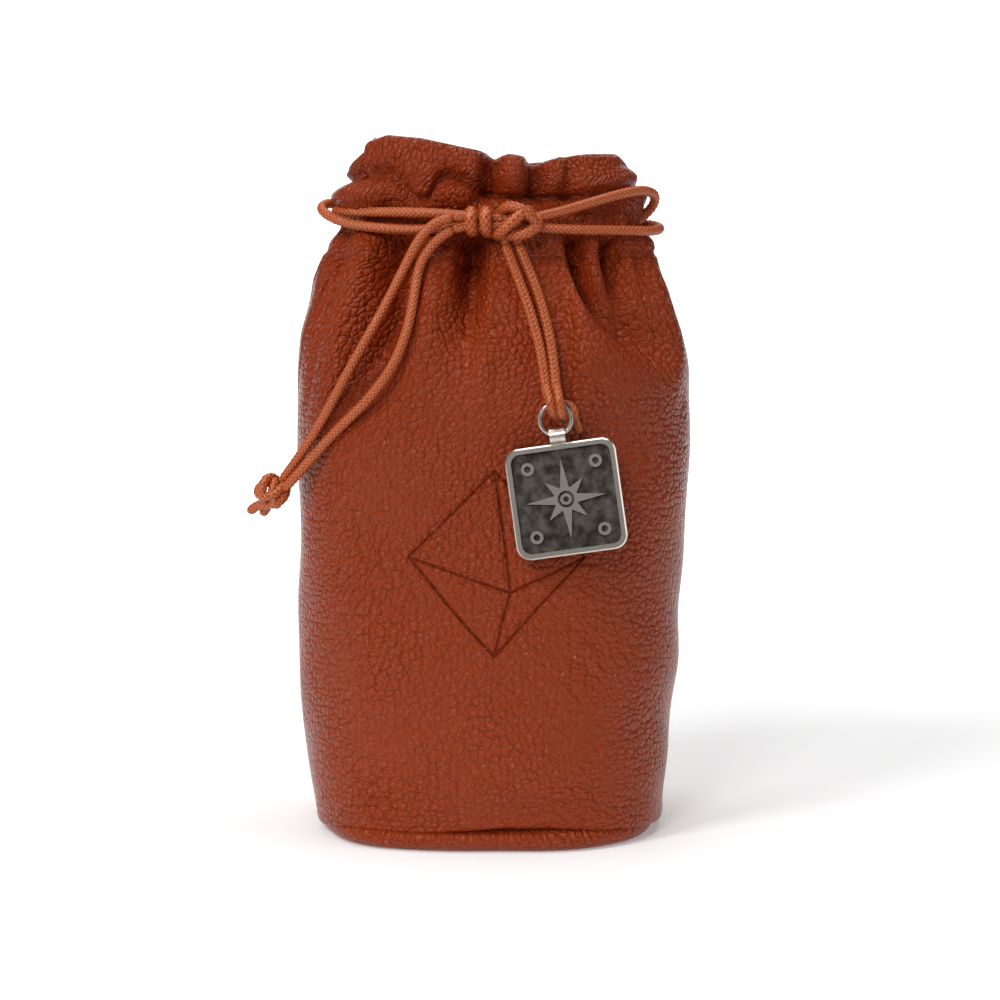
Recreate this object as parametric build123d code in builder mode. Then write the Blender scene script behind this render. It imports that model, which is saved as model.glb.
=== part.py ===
from build123d import *
import os
from functools import cache
from math import cos, pi, radians, sin, sqrt, tan

# Drawstring dice bag. A round leather pouch that stands on a flat base: a front and a back panel
# sewn together down both sides, a round base panel sewn in at the bottom, and a folded hem at the
# top with a channel in it. Two drawcords run all the way round in the channel. The left one comes
# out at the left slit with both ends, the right one at the right slit, and the four strands are
# tied together at the middle of the front. The left ends end in a stopper knot. The right ends
# carry a jump ring with a square metal charm.
#
# Millimetres, +Z up, the front faces -Y, the origin is the middle of the base's underside.

os.makedirs("parts", exist_ok=True)

# ---- driving dimensions ----
leather = 1.4  # thickness of the leather
cord_diameter = 2.0
bag_top = 164.5  # top of the folded hem
wall_bottom = 3.5  # where the side wall meets the turned-up rim of the base

# Outside of the bag: height, half width, half depth. Round at the base, flatter towards the neck.
outside = [
    (wall_bottom, 41.2, 40.0),
    (12.0, 42.6, 39.6),
    (32.0, 44.6, 37.4),
    (62.0, 45.7, 34.4),
    (102.0, 47.0, 31.2),
    (121.0, 43.9, 25.6),
    (135.5, 38.0, 17.8),
    (144.0, 35.4, 15.4),
    (152.5, 36.4, 16.2),
    (bag_top, 34.0, 15.0),
]
neck_half_width = 35.4
neck_half_depth = 15.4

# The folded hem: outer layer, channel for the cords, inner layer.
channel_gap = 3.0
hem_depth = leather + channel_gap + leather
hem_bottom = 133.0
lower_stitch_z = 135.5
upper_stitch_z = 152.5
stitched_height = 2.0
thread = 0.5
seam_allowance = 4.5
seam_low, seam_high = 10.0, 132.5

slit_half_width = 6.5
slit_low, slit_high = 139.5, 149.0

# The base panel.
base_flat_radius = 36.0
base_radius = 39.8
base_flange_radius = 38.2
base_flange_top = 9.0

# The cords in the channel, left one above the right one.
left_cord_z = 146.0
right_cord_z = 143.0
in_channel = leather + channel_gap / 2

# The knot that ties the four strands.
knot_center = (1.6, -20.0, 144.2)
knot_half_length = 9.0
knot_half_depth = 3.4
knot_half_height = 3.8

# Free strands from the knot to the stopper knot. They lift about the first point of the upper one.
left_tail_upper_route = [
    (-9.6, -21.2, 145.0),
    (-12.4, -21.4, 144.4),
    (-15.3, -21.7, 142.6),
    (-18.0, -22.0, 139.1),
    (-20.9, -22.8, 133.3),
    (-25.8, -24.8, 123.5),
    (-32.2, -25.6, 112.6),
    (-38.7, -23.4, 100.4),
    (-44.6, -18.8, 90.6),
    (-49.8, -15.2, 83.6),
]
left_tail_lower_route = [
    (-9.6, -21.2, 142.2),
    (-12.2, -21.4, 140.8),
    (-15.0, -21.8, 138.0),
    (-17.5, -22.6, 133.9),
    (-18.4, -25.0, 128.0),
    (-19.8, -28.2, 119.8),
    (-23.2, -29.4, 111.2),
    (-29.2, -27.8, 103.2),
    (-36.9, -23.8, 95.8),
    (-43.4, -20.6, 88.2),
    (-49.4, -16.6, 81.6),
]
stopper_center = (-52.2, -14.6, 80.8)
stopper_half_sizes = (4.2, 3.6, 4.4)

# Free strands from the knot to the jump ring, down to their turns round the ring's wire.
# They lift about their first points.
charm_cord_left_route = [
    (2.4, -20.0, 138.8),
    (5.0, -23.0, 132.2),
    (8.2, -27.0, 123.6),
    (10.9, -31.2, 113.6),
]
charm_cord_right_route = [
    (5.4, -20.0, 138.8),
    (8.6, -22.8, 131.8),
    (11.6, -27.0, 122.6),
    (13.4, -31.2, 113.6),
]

# The charm, a square cast plate with a raised rim and a star in relief, and its ring.
plate_side = 25.4
plate_thickness = 2.7
plate_corner = 3.2
rim_width = 1.3
pocket_depth = 1.0
relief_height = 0.75
plate_center = (16.3, -37.4, 81.6)
charm_roll, charm_yaw, charm_pitch = 8.5, 6.0, 5.0  # degrees
ring_radius = 3.62  # to the middle of the wire
wire_radius = 0.48
bail_hole_radius = 1.12
bail_radius = 1.85
bail_width = 3.5
plate_top_drop = 1.9  # from the ring's lowest wire down to the plate's top edge
loop_radius = 2.16  # of a cord's turn round the ring's wire
loop_spacing = 2.1  # between the two turns
charm_knot_radius = 1.95
charm_knot_offset = (2.2, -0.3, -2.6)  # from the ring's middle: right, up, towards the front
bail_strap = 1.9  # thickness of the bail's strap down to the plate
edge_break = 0.3
star_points = 8
star_long, star_short, star_waist = 9.2, 6.2, 2.7
star_opening = 1.9
hub_radii = 1.3, 0.65
stud_radii = 1.5, 0.75
stud_spacing = 15.6


@cache
def bag_solid(inset):
    """The whole pouch as one solid, its outside moved in by inset."""
    with BuildPart() as solid:
        for height, half_width, half_depth in outside:
            with BuildSketch(Plane.XY.offset(height)):
                Ellipse(half_width - inset, half_depth - inset)
        loft()
    return solid.part


def slab(low, high, half_width=60.0, front=-60.0, back=60.0):
    """A box between two heights, used to cut the pouch."""
    with BuildPart() as block:
        with Locations((0, (front + back) / 2, (low + high) / 2)):
            Box(2 * half_width, back - front, high - low)
    return block.part


def ring_between(outer_inset, inner_inset, low, high):
    """The layer of the pouch between two insets and two heights."""
    with BuildPart() as layer:
        add(bag_solid(outer_inset))
        add(bag_solid(inner_inset), mode=Mode.SUBTRACT)
        add(slab(low, high), mode=Mode.INTERSECT)
    return layer.part


def write(part, name):
    part.label = name
    export_step(part, f"parts/{name}.step")


# ---- leather panels ----
def slit_cutters():
    """Cuts the slits through the hem's outer layer at both sides, where the cords come out."""
    with BuildPart() as cutters:
        with Locations((0, 0, (slit_low + slit_high) / 2)):
            Box(100, 2 * slit_half_width, slit_high - slit_low)
        add(bag_solid(leather + channel_gap), mode=Mode.SUBTRACT)
    return cutters.part


def panel(front):
    """The front or the back half of the wall, with its folded hem and its seam allowances."""
    flange_front, flange_back = (-leather, 0.0) if front else (0.0, leather)
    with BuildPart() as flanges:
        add(ring_between(leather, leather + seam_allowance, seam_low, seam_high))
        add(slab(0, bag_top, front=flange_front, back=flange_back), mode=Mode.INTERSECT)
    channel_low = lower_stitch_z + stitched_height / 2
    channel_high = upper_stitch_z - stitched_height / 2
    header_low = upper_stitch_z + stitched_height / 2
    with BuildPart() as half:
        add(ring_between(0, leather, wall_bottom, bag_top))
        add(ring_between(0, hem_depth, hem_bottom, bag_top))
        for low, high in ((channel_low, channel_high), (header_low, bag_top - leather)):
            add(ring_between(leather, leather + channel_gap, low, high), mode=Mode.SUBTRACT)
        add(slit_cutters(), mode=Mode.SUBTRACT)
        # Plane.XZ looks towards -Y, so its top side is the front of the bag.
        split(bisect_by=Plane.XZ, keep=Keep.TOP if front else Keep.BOTTOM)
        add(flanges.part)
    return half.part


write(panel(front=True), "front_panel")
write(panel(front=False), "back_panel")

# ---- base panel: a flat disc with a rounded rim and an upright seam flange ----
with BuildPart() as base_panel:
    with BuildSketch(Plane.XZ):
        with BuildLine():
            rim_start = (base_flat_radius, 0)
            rim_end = (base_radius, wall_bottom)
            Line((0, 0), rim_start)
            rim = TangentArc(rim_start, rim_end, tangent=(1, 0))
            Polyline(
                rim_end,
                (base_flange_radius, wall_bottom),
                (base_flange_radius, base_flange_top),
                (base_flange_radius - leather, base_flange_top),
                (base_flange_radius - leather, leather),
                (0, leather),
                (0, 0),
            )
        make_face()
    revolve(axis=Axis.Z)
write(base_panel.part, "base_panel")


# ---- where the charm hangs ----
def charm_plane():
    """The plate's front: x to its right, y to its top, z out of its face."""
    yaw, pitch, roll = radians(charm_yaw), radians(charm_pitch), radians(charm_roll)
    out = Vector(-sin(yaw) * cos(pitch), -cos(yaw) * cos(pitch), sin(pitch))
    level = Vector(0, 0, 1).cross(out).normalized()
    level = level if level.X > 0 else level * -1
    up = out.cross(level)
    right = level * cos(roll) + up * sin(roll)
    return Plane(plate_center, x_dir=right, z_dir=out)


plate_plane = charm_plane()
half_side = plate_side / 2
half_loops = loop_spacing / 2
wire_low = plate_plane.from_local_coords((0, half_side + plate_top_drop, 0))
ring_center = plate_plane.from_local_coords((0, half_side + plate_top_drop + ring_radius, 0))
wire_high = plate_plane.from_local_coords((0, half_side + plate_top_drop + 2 * ring_radius, 0))
loops_height = half_side + plate_top_drop + 2 * ring_radius
loop_tops = [
    plate_plane.from_local_coords((side * half_loops, loops_height + loop_radius, 0))
    for side in (-1, 1)
]
print("charm tilt axis", tuple(wire_low), "direction", tuple(plate_plane.x_dir))
print("ring swing axis", tuple(wire_high), "plate up", tuple(plate_plane.y_dir))
print("loop tops", [tuple(top) for top in loop_tops])


# ---- sewing thread ----
def channel_thread(front):
    """The two lines of stitches that close the channel, on one panel's outside."""
    with BuildPart() as lines:
        for height in (lower_stitch_z, upper_stitch_z):
            add(ring_between(-thread, 0, height - thread / 2, height + thread / 2))
        split(bisect_by=Plane.XZ, keep=Keep.TOP if front else Keep.BOTTOM)
    return lines.part


def side_thread(side):
    """Thread on both faces of the seam allowances, down the left (-1) or right (1) seam."""
    middle = leather + seam_allowance / 2
    offset = leather + thread / 2
    with BuildPart() as faces:
        with Locations((side * 30, -offset, bag_top / 2), (side * 30, offset, bag_top / 2)):
            Box(50, thread, bag_top)
    with BuildPart() as lines:
        add(ring_between(middle - thread / 2, middle + thread / 2, seam_low + 1, seam_high - 1))
        add(faces.part, mode=Mode.INTERSECT)
    return lines.part


write(channel_thread(front=True), "front_channel_thread")
write(channel_thread(front=False), "back_channel_thread")
write(side_thread(-1), "left_seam_thread")
write(side_thread(1), "right_seam_thread")

with BuildPart() as base_seam_thread:
    with BuildSketch(Plane.XY.offset(6)):
        Circle(base_flange_radius - leather)
        Circle(base_flange_radius - leather - thread, mode=Mode.SUBTRACT)
    extrude(amount=thread)
write(base_seam_thread.part, "base_seam_thread")


# ---- cords ----
def bend_radii(points):
    """The largest radius that each corner's two runs allow."""
    radii = []
    for before, here, after in zip(points, points[1:], points[2:]):
        run_in = Vector(*here) - Vector(*before)
        run_out = Vector(*after) - Vector(*here)
        half_turn = radians(run_in.get_angle(run_out)) / 2
        radii.append(0.45 * min(run_in.length, run_out.length) / tan(half_turn))
    return radii


def cord(points, name):
    """A cord's tube along straight runs joined by tangent arcs."""
    radii = bend_radii(points)
    with BuildPart() as tube:
        with BuildLine() as route:
            FilletPolyline(*points, radius=radii)
        start = route.wires()[0]
        with BuildSketch(Plane(start @ 0, z_dir=start % 0)):
            Circle(cord_diameter / 2)
        sweep(path=start)
    ideal = pi * (cord_diameter / 2) ** 2 * start.length
    print(
        name,
        "length", round(start.length, 1),
        "smallest radius", round(min(radii), 1),
        "volume share", round(tube.part.volume / ideal, 4),
    )
    return tube.part


def around_neck(offset, height, first_turn, last_turn, count):
    """Points round the neck, offset from its outside, from one angle to another in degrees."""
    spread = 1 / cos(radians((last_turn - first_turn) / (count - 1) / 2))
    return [
        (
            (neck_half_width + offset) * cos(radians(turn)) * spread,
            (neck_half_depth + offset) * sin(radians(turn)) * spread,
            height,
        )
        for turn in (first_turn + (last_turn - first_turn) * k / (count - 1) for k in range(count))
    ]


def mirrored(points):
    return [(-x, y, z) for x, y, z in points]


# Angles run anticlockwise seen from above, so -90 is the middle of the front.
# The left cord starts in the knot, runs left on the outside, turns into the front channel at the
# left slit, goes once round in the channel, and comes back out at the same slit.
left_drawcord_route = (
    [(-5.5, -18.2, 145.2), (-11.5, -17.6, 145.8), (-19.5, -16.2, 146.1), (-27.5, -13.0, 146.0)]
    + [(-33.6, -8.6, 146.0), (-37.5, -4.4, 146.0), (-37.6, -0.3, 146.0)]
    + [(-33.7, 0.4, 146.0), (-31.9, -3.2, 146.0)]
    + around_neck(-in_channel, left_cord_z, -152, 152, 18)
    + [(-32.2, 4.2, 146.0), (-35.4, 3.8, 146.6), (-39.4, 1.8, 148.2), (-41.4, -2.0, 147.0)]
    + [(-39.6, -5.4, 145.2), (-35.0, -9.4, 143.4), (-27.9, -13.2, 142.4), (-19.7, -16.2, 142.0)]
    + [(-11.5, -18.0, 142.3), (-5.5, -18.6, 143.0)]
)
right_drawcord_route = (
    [(8.5, -18.6, 144.8), (14.5, -18.2, 146.0), (22.5, -16.0, 148.4), (30.5, -12.0, 150.6)]
    + [(35.2, -7.2, 151.2), (38.0, -3.0, 150.0), (37.6, -0.4, 147.2)]
    + [(34.4, -0.1, 144.2), (31.9, -3.2, 143.0)]
    + mirrored(around_neck(-in_channel, right_cord_z, -152, 152, 18))
    + [(32.2, 4.2, 143.0), (35.4, 3.6, 143.0), (38.6, 1.2, 142.6), (39.2, -3.2, 141.8)]
    + [(36.4, -8.6, 141.5), (30.0, -13.2, 141.8), (22.0, -16.8, 142.0), (14.5, -18.6, 142.2)]
    + [(8.5, -18.8, 142.8)]
)
write(cord(left_drawcord_route, "left_drawcord"), "left_drawcord")
write(cord(right_drawcord_route, "right_drawcord"), "right_drawcord")
write(cord(left_tail_upper_route, "left_tail_upper"), "left_tail_upper")
write(cord(left_tail_lower_route, "left_tail_lower"), "left_tail_lower")
charm_cord_routes = {
    "charm_cord_left": charm_cord_left_route + [tuple(loop_tops[0])],
    "charm_cord_right": charm_cord_right_route + [tuple(loop_tops[1])],
}
for cord_name, cord_route in charm_cord_routes.items():
    write(cord(cord_route, cord_name), cord_name)


# ---- knots ----
def barrel(center, half_sizes):
    """A rounded lump of knotted cord."""
    half_length, half_depth, half_height = half_sizes
    steps = (-0.97, -0.75, -0.4, 0.0, 0.4, 0.75, 0.97)
    with BuildPart() as lump:
        for step in steps:
            share = sqrt(1 - step**2) ** 0.6
            with BuildSketch(Plane.YZ.offset(step * half_length)):
                Ellipse(half_depth * share, half_height * share)
        loft()
    return lump.part.moved(Location(center))


write(
    barrel(knot_center, (knot_half_length, knot_half_depth, knot_half_height)), "centre_knot"
)
write(barrel(stopper_center, stopper_half_sizes), "stopper_knot")


# ---- charm, bail and jump ring ----
with BuildPart() as charm_plate:
    with BuildSketch(plate_plane.offset(-plate_thickness / 2)):
        RectangleRounded(plate_side, plate_side, plate_corner)
    extrude(amount=plate_thickness)
    front_and_back = charm_plate.faces().filter_by(
        lambda face: abs(face.normal_at().dot(plate_plane.z_dir)) > 0.99
    )
    chamfer(front_and_back.edges(), length=edge_break)
    with BuildSketch(plate_plane.offset(plate_thickness / 2 - pocket_depth)):
        inside = plate_side - 2 * rim_width
        RectangleRounded(inside, inside, plate_corner - rim_width + edge_break)
    extrude(amount=pocket_depth + 1, mode=Mode.SUBTRACT)
    with BuildSketch(plate_plane.offset(plate_thickness / 2 - pocket_depth)):
        tips = []
        for k in range(2 * star_points):
            reach = star_waist if k % 2 else (star_long if k % 4 == 0 else star_short)
            turn = radians(90 + k * 180 / star_points)
            tips.append((reach * cos(turn), reach * sin(turn)))
        with BuildLine():
            Polyline(*tips, close=True)
        make_face()
        Circle(star_opening, mode=Mode.SUBTRACT)
    extrude(amount=relief_height)
    with BuildSketch(plate_plane.offset(plate_thickness / 2 - pocket_depth)):
        Circle(hub_radii[0])
        Circle(hub_radii[1], mode=Mode.SUBTRACT)
        with GridLocations(stud_spacing, stud_spacing, 2, 2):
            Circle(stud_radii[0])
            Circle(stud_radii[1], mode=Mode.SUBTRACT)
    extrude(amount=relief_height)
write(charm_plate.part, "charm_plate")

bail_plane = Plane(
    plate_plane.from_local_coords((-bail_width / 2, half_side + plate_top_drop, 0)),
    x_dir=plate_plane.y_dir,
    z_dir=plate_plane.x_dir,
)
with BuildPart() as charm_bail:
    with BuildSketch(bail_plane):
        Circle(bail_radius)
        with Locations((-plate_top_drop / 2, 0)):
            Rectangle(plate_top_drop, bail_strap)
        Circle(bail_hole_radius, mode=Mode.SUBTRACT)
    extrude(amount=bail_width)
write(charm_bail.part, "charm_bail")

with BuildPart() as jump_ring:
    wire_plane = Plane(ring_center, x_dir=plate_plane.x_dir, z_dir=plate_plane.z_dir)
    section_plane = Plane(
        wire_plane.from_local_coords((ring_radius, 0, 0)),
        x_dir=plate_plane.x_dir,
        z_dir=plate_plane.y_dir,
    )
    with BuildSketch(section_plane):
        Circle(wire_radius)
    # The wire is bent round into a ring whose ends meet with a hair's gap.
    revolve(axis=Axis(ring_center, plate_plane.z_dir), revolution_arc=358.5)
write(jump_ring.part, "jump_ring")


def turn_round_wire(side):
    """One turn of cord round the top of the jump ring."""
    with BuildPart() as turn:
        middle = plate_plane.from_local_coords((side * half_loops, loops_height, 0))
        with BuildSketch(Plane(middle, x_dir=plate_plane.y_dir, z_dir=plate_plane.z_dir)):
            with Locations((loop_radius, 0)):
                Circle(cord_diameter / 2)
        revolve(axis=Axis(middle, plate_plane.x_dir))
    return turn.part


with BuildPart() as ring_loops:
    add(turn_round_wire(-1))
    add(turn_round_wire(1))
write(ring_loops.part, "ring_loops")

with BuildPart() as charm_knot:
    with Locations(wire_plane * Location(charm_knot_offset)):
        Sphere(charm_knot_radius)
write(charm_knot.part, "charm_knot")
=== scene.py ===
import bpy
import math
import numpy as np
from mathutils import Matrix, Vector


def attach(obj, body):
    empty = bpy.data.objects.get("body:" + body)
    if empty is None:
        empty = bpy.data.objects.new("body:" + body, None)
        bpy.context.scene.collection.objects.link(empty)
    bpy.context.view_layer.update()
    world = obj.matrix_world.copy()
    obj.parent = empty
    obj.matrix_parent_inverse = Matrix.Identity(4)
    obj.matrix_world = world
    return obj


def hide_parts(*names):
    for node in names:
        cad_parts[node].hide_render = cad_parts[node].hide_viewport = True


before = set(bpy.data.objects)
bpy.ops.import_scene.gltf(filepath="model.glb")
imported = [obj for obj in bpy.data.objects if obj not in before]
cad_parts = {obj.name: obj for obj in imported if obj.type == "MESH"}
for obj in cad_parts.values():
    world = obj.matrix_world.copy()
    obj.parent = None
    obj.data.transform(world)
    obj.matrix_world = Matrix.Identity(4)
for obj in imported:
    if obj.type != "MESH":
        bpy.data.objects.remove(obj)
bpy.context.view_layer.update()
bpy.ops.object.select_all(action="DESELECT")
mm = 0.001  # sizes below are in millimetres, +Z up, the front faces -Y

# camera

cameraSetup = {"lens": 105, "distance": 700, "elevation": 6.5, "aim": (1.2, 0, 77.1)}


def placeCamera():
    tilt = math.radians(cameraSetup["elevation"])
    aimX, aimY, aimZ = cameraSetup["aim"]
    reach = cameraSetup["distance"]
    data = bpy.data.cameras.new("camera")
    data.lens = cameraSetup["lens"]
    data.sensor_width = 36
    data.clip_start = 0.02
    camera = bpy.data.objects.new("camera", data)
    bpy.context.collection.objects.link(camera)
    camera.location = (aimX * mm, (aimY - reach * math.cos(tilt)) * mm, (aimZ + reach * math.sin(tilt)) * mm)
    camera.rotation_euler = (math.pi / 2 - tilt, 0, 0)
    bpy.context.scene.camera = camera


placeCamera()
print("camera placed")

# cords: a braided tube follows each route's smooth line

cordSetup = {
    "diameter": 2.0,
    "surface": 2.32,  # over the braid's bumps
    "lobes": 6,  # bumps of the braid round the cord
    "pitch": 1.15,  # length of one bump and its gap
    "bump": 0.13,
    "ringStep": 0.23,
    "segments": 24,
}

leftDrawcordRoute = (
    [(-5.5, -18.2, 145.2), (-11.5, -17.6, 145.8), (-19.5, -16.0, 146.1), (-26.0, -12.6, 146.1)]
    + [(-33.6, -8.6, 146.0), (-37.5, -4.4, 146.0), (-37.6, -0.3, 146.0)]
    + [(-33.7, 0.4, 146.0), (-31.9, -3.2, 146.0)]
)
rightDrawcordRoute = (
    [(8.5, -18.6, 144.8), (14.5, -18.2, 146.0), (22.5, -16.0, 148.4), (30.5, -12.0, 150.6)]
    + [(35.2, -7.2, 151.2), (38.0, -3.0, 150.0), (37.6, -0.4, 147.2)]
    + [(34.4, -0.1, 144.2), (31.9, -3.2, 143.0)]
)
leftDrawcordReturn = (
    [(-32.2, 4.2, 146.0), (-35.4, 3.8, 146.6), (-39.4, 1.8, 148.2), (-41.4, -2.0, 147.0)]
    + [(-39.6, -5.4, 145.2), (-35.0, -9.4, 143.4), (-27.9, -13.2, 142.4), (-19.7, -16.2, 142.0)]
    + [(-11.5, -18.0, 142.3), (-5.5, -18.6, 143.0)]
)
rightDrawcordReturn = (
    [(32.2, 4.2, 143.0), (35.4, 3.6, 143.0), (38.6, 1.2, 142.6), (39.2, -3.2, 141.8)]
    + [(36.4, -8.6, 141.5), (30.0, -13.2, 141.8), (22.0, -16.8, 142.0), (14.5, -18.6, 142.2)]
    + [(8.5, -18.8, 142.8)]
)
leftTailUpperRoute = [
    (-9.6, -21.2, 145.0), (-12.4, -21.4, 144.4), (-15.3, -21.7, 142.6), (-18.0, -22.0, 139.1),
    (-20.9, -22.8, 133.3), (-25.8, -24.8, 123.5), (-32.2, -25.6, 112.6), (-38.7, -23.4, 100.4),
    (-44.6, -18.8, 90.6), (-49.8, -15.2, 83.6),
]
leftTailLowerRoute = [
    (-9.6, -21.2, 142.2), (-12.2, -21.4, 140.8), (-15.0, -21.8, 138.0), (-17.5, -22.6, 133.9),
    (-18.4, -25.0, 128.0), (-19.8, -28.2, 119.8), (-23.2, -29.4, 111.2), (-29.2, -27.8, 103.2),
    (-36.9, -23.8, 95.8), (-43.4, -20.6, 88.2), (-49.4, -16.6, 81.6),
]
charmCordLeftRoute = [
    (2.4, -20.0, 138.8), (5.0, -23.0, 132.2), (8.2, -27.0, 123.6), (10.9, -31.2, 113.6),
    (11.95, -34.88, 105.09),
]
charmCordRightRoute = [
    (5.4, -20.0, 138.8), (8.6, -22.8, 131.8), (11.6, -27.0, 122.6), (13.4, -31.2, 113.6),
    (14.02, -35.07, 105.40),
]


channelSetup = {"halfWidth": 32.5, "halfDepth": 12.5, "endTurn": 152, "points": 18}
channelTurns = np.linspace(-1, 1, channelSetup["points"]) * channelSetup["endTurn"]


def aroundNeck(height, side):
    # points in the channel round the neck, from one slit to the same one
    turns = np.radians(channelTurns)
    spread = 1 / math.cos((turns[1] - turns[0]) / 2)
    wide, deep = channelSetup["halfWidth"] * spread * side, channelSetup["halfDepth"] * spread
    return [(wide * math.cos(turn), deep * math.sin(turn), height) for turn in turns]


leftDrawcordWhole = leftDrawcordRoute + aroundNeck(146.0, 1) + leftDrawcordReturn
rightDrawcordWhole = rightDrawcordRoute + aroundNeck(143.0, -1) + rightDrawcordReturn


def smoothLine(points):
    # the route's own spline, read as points in metres
    curve = bpy.data.curves.new("route", "CURVE")
    curve.dimensions = "3D"
    curve.resolution_u = 32
    spline = curve.splines.new("NURBS")
    spline.points.add(len(points) - 1)
    for point, (x, y, z) in zip(spline.points, points):
        point.co = (x * mm, y * mm, z * mm, 1)
    spline.order_u = 3
    spline.use_endpoint_u = True
    route = bpy.data.objects.new("route", curve)
    bpy.context.collection.objects.link(route)
    bpy.context.view_layer.update()
    mesh = bpy.data.meshes.new_from_object(route)
    line = np.array([vertex.co[:] for vertex in mesh.vertices])
    bpy.data.objects.remove(route)
    bpy.data.curves.remove(curve)
    bpy.data.meshes.remove(mesh)
    return line


def evenSteps(line, step):
    # the same line with points at an even spacing
    runs = np.linalg.norm(np.diff(line, axis=0), axis=1)
    along = np.concatenate([[0], np.cumsum(runs)])
    count = max(4, int(round(along[-1] / step)))
    places = np.linspace(0, along[-1], count + 1)
    return np.stack([np.interp(places, along, line[:, k]) for k in range(3)], axis=1), places


def crossFrames(line):
    # a side and an up direction at each point, carried along without twist
    ahead = np.gradient(line, axis=0)
    ahead /= np.linalg.norm(ahead, axis=1)[:, None]
    side = np.cross(ahead[0], (0.3, 0.2, 1.0))
    sides = []
    for direction in ahead:
        side = side - direction * np.dot(side, direction)
        side /= np.linalg.norm(side)
        sides.append(side)
    sides = np.array(sides)
    return sides, np.cross(ahead, sides)


def meshPiece(name, vertices, faces, uvs=None, smooth=True):
    mesh = bpy.data.meshes.new(name)
    mesh.from_pydata([tuple(v) for v in vertices], [], faces)
    if uvs is not None:
        layer = mesh.uv_layers.new(name="UVMap")
        loops = np.empty(len(mesh.loops), dtype=np.int64)
        mesh.loops.foreach_get("vertex_index", loops)
        layer.data.foreach_set("uv", np.asarray(uvs, dtype=np.float32)[loops].ravel())
    if smooth:
        mesh.polygons.foreach_set("use_smooth", [True] * len(mesh.polygons))
    mesh.validate()
    mesh.update()
    piece = bpy.data.objects.new(name, mesh)
    bpy.context.collection.objects.link(piece)
    return piece


def braidedTube(name, line, setup=cordSetup):
    # a tube with the braid's bumps in its surface, and rounded ends
    line, along = evenSteps(line, setup["ringStep"] * mm)
    sides, ups = crossFrames(line)
    angles = np.arange(setup["segments"]) * 2 * math.pi / setup["segments"]
    radius = setup["surface"] / 2 * mm
    lengthways = np.cos(2 * math.pi * along / (setup["pitch"] * mm))
    waves = np.cos(setup["lobes"] * angles)[None, :] * lengthways[:, None]
    radii = radius + setup["bump"] * mm * (waves - 0.4)
    fromEnd = np.minimum(along, along[-1] - along) / radius
    endRounding = 0.75
    radii *= np.sqrt(1 - np.clip(1 - fromEnd, 0, 1) ** 2 * endRounding)[:, None]
    rings = (
        line[:, None, :]
        + sides[:, None, :] * (np.cos(angles)[None, :] * radii)[:, :, None]
        + ups[:, None, :] * (np.sin(angles)[None, :] * radii)[:, :, None]
    )
    count, around = len(line), len(angles)
    vertices = [tuple(v) for v in rings.reshape(-1, 3)]
    uvs = [(along[i], angles[j] / (2 * math.pi)) for i in range(count) for j in range(around)]
    faces = []
    for i in range(count - 1):
        for j in range(around):
            k = (j + 1) % around
            faces.append((i * around + j, i * around + k, (i + 1) * around + k, (i + 1) * around + j))
    for end, ring in ((0, 0), (1, count - 1)):
        vertices.append(tuple(line[ring]))
        uvs.append((along[ring], 0.5))
        pole = len(vertices) - 1
        for j in range(around):
            k = (j + 1) % around
            first, second = ring * around + j, ring * around + k
            faces.append((pole, second, first) if end == 0 else (pole, first, second))
    return meshPiece(name, vertices, faces, uvs)


cordPieces = {}


def layCord(name, points, body, replaces):
    line = smoothLine(points)
    piece = braidedTube(name, line)
    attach(piece, body)
    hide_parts(replaces)
    cordPieces[name] = piece
    return piece


# knots

knotSetup = {
    "inner": 2.2,  # sizes of the strands in each part of a knot
    "turns": 2.6,
    "wraps": 3.0,
    "stopper": 2.3,
    "charm": 2.15,
    "stopperPlace": (-52.2, -14.6, 80.8),
    "stopperRun": (-0.62, 0.30, -0.72),  # the way the tails run into the stopper knot
}


def strand(name, size, points):
    return braidedTube(name, smoothLine(points), size)


def wrapLine(center, radii, lean):
    # just over one turn round the strands, which lie along X
    turns, startTurn, pitch, steps = 1.02, 75, 0.5, 26
    points = []
    for k in range(int(turns * steps) + 1):
        share = k / steps
        angle = math.radians(startTurn) + 2 * math.pi * share
        x = center[0] + pitch * (share - turns / 2) + lean * math.cos(angle)
        points.append((x, center[1] + radii[0] * math.cos(angle), center[2] + radii[1] * math.sin(angle)))
    return np.array(points) * mm


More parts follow.
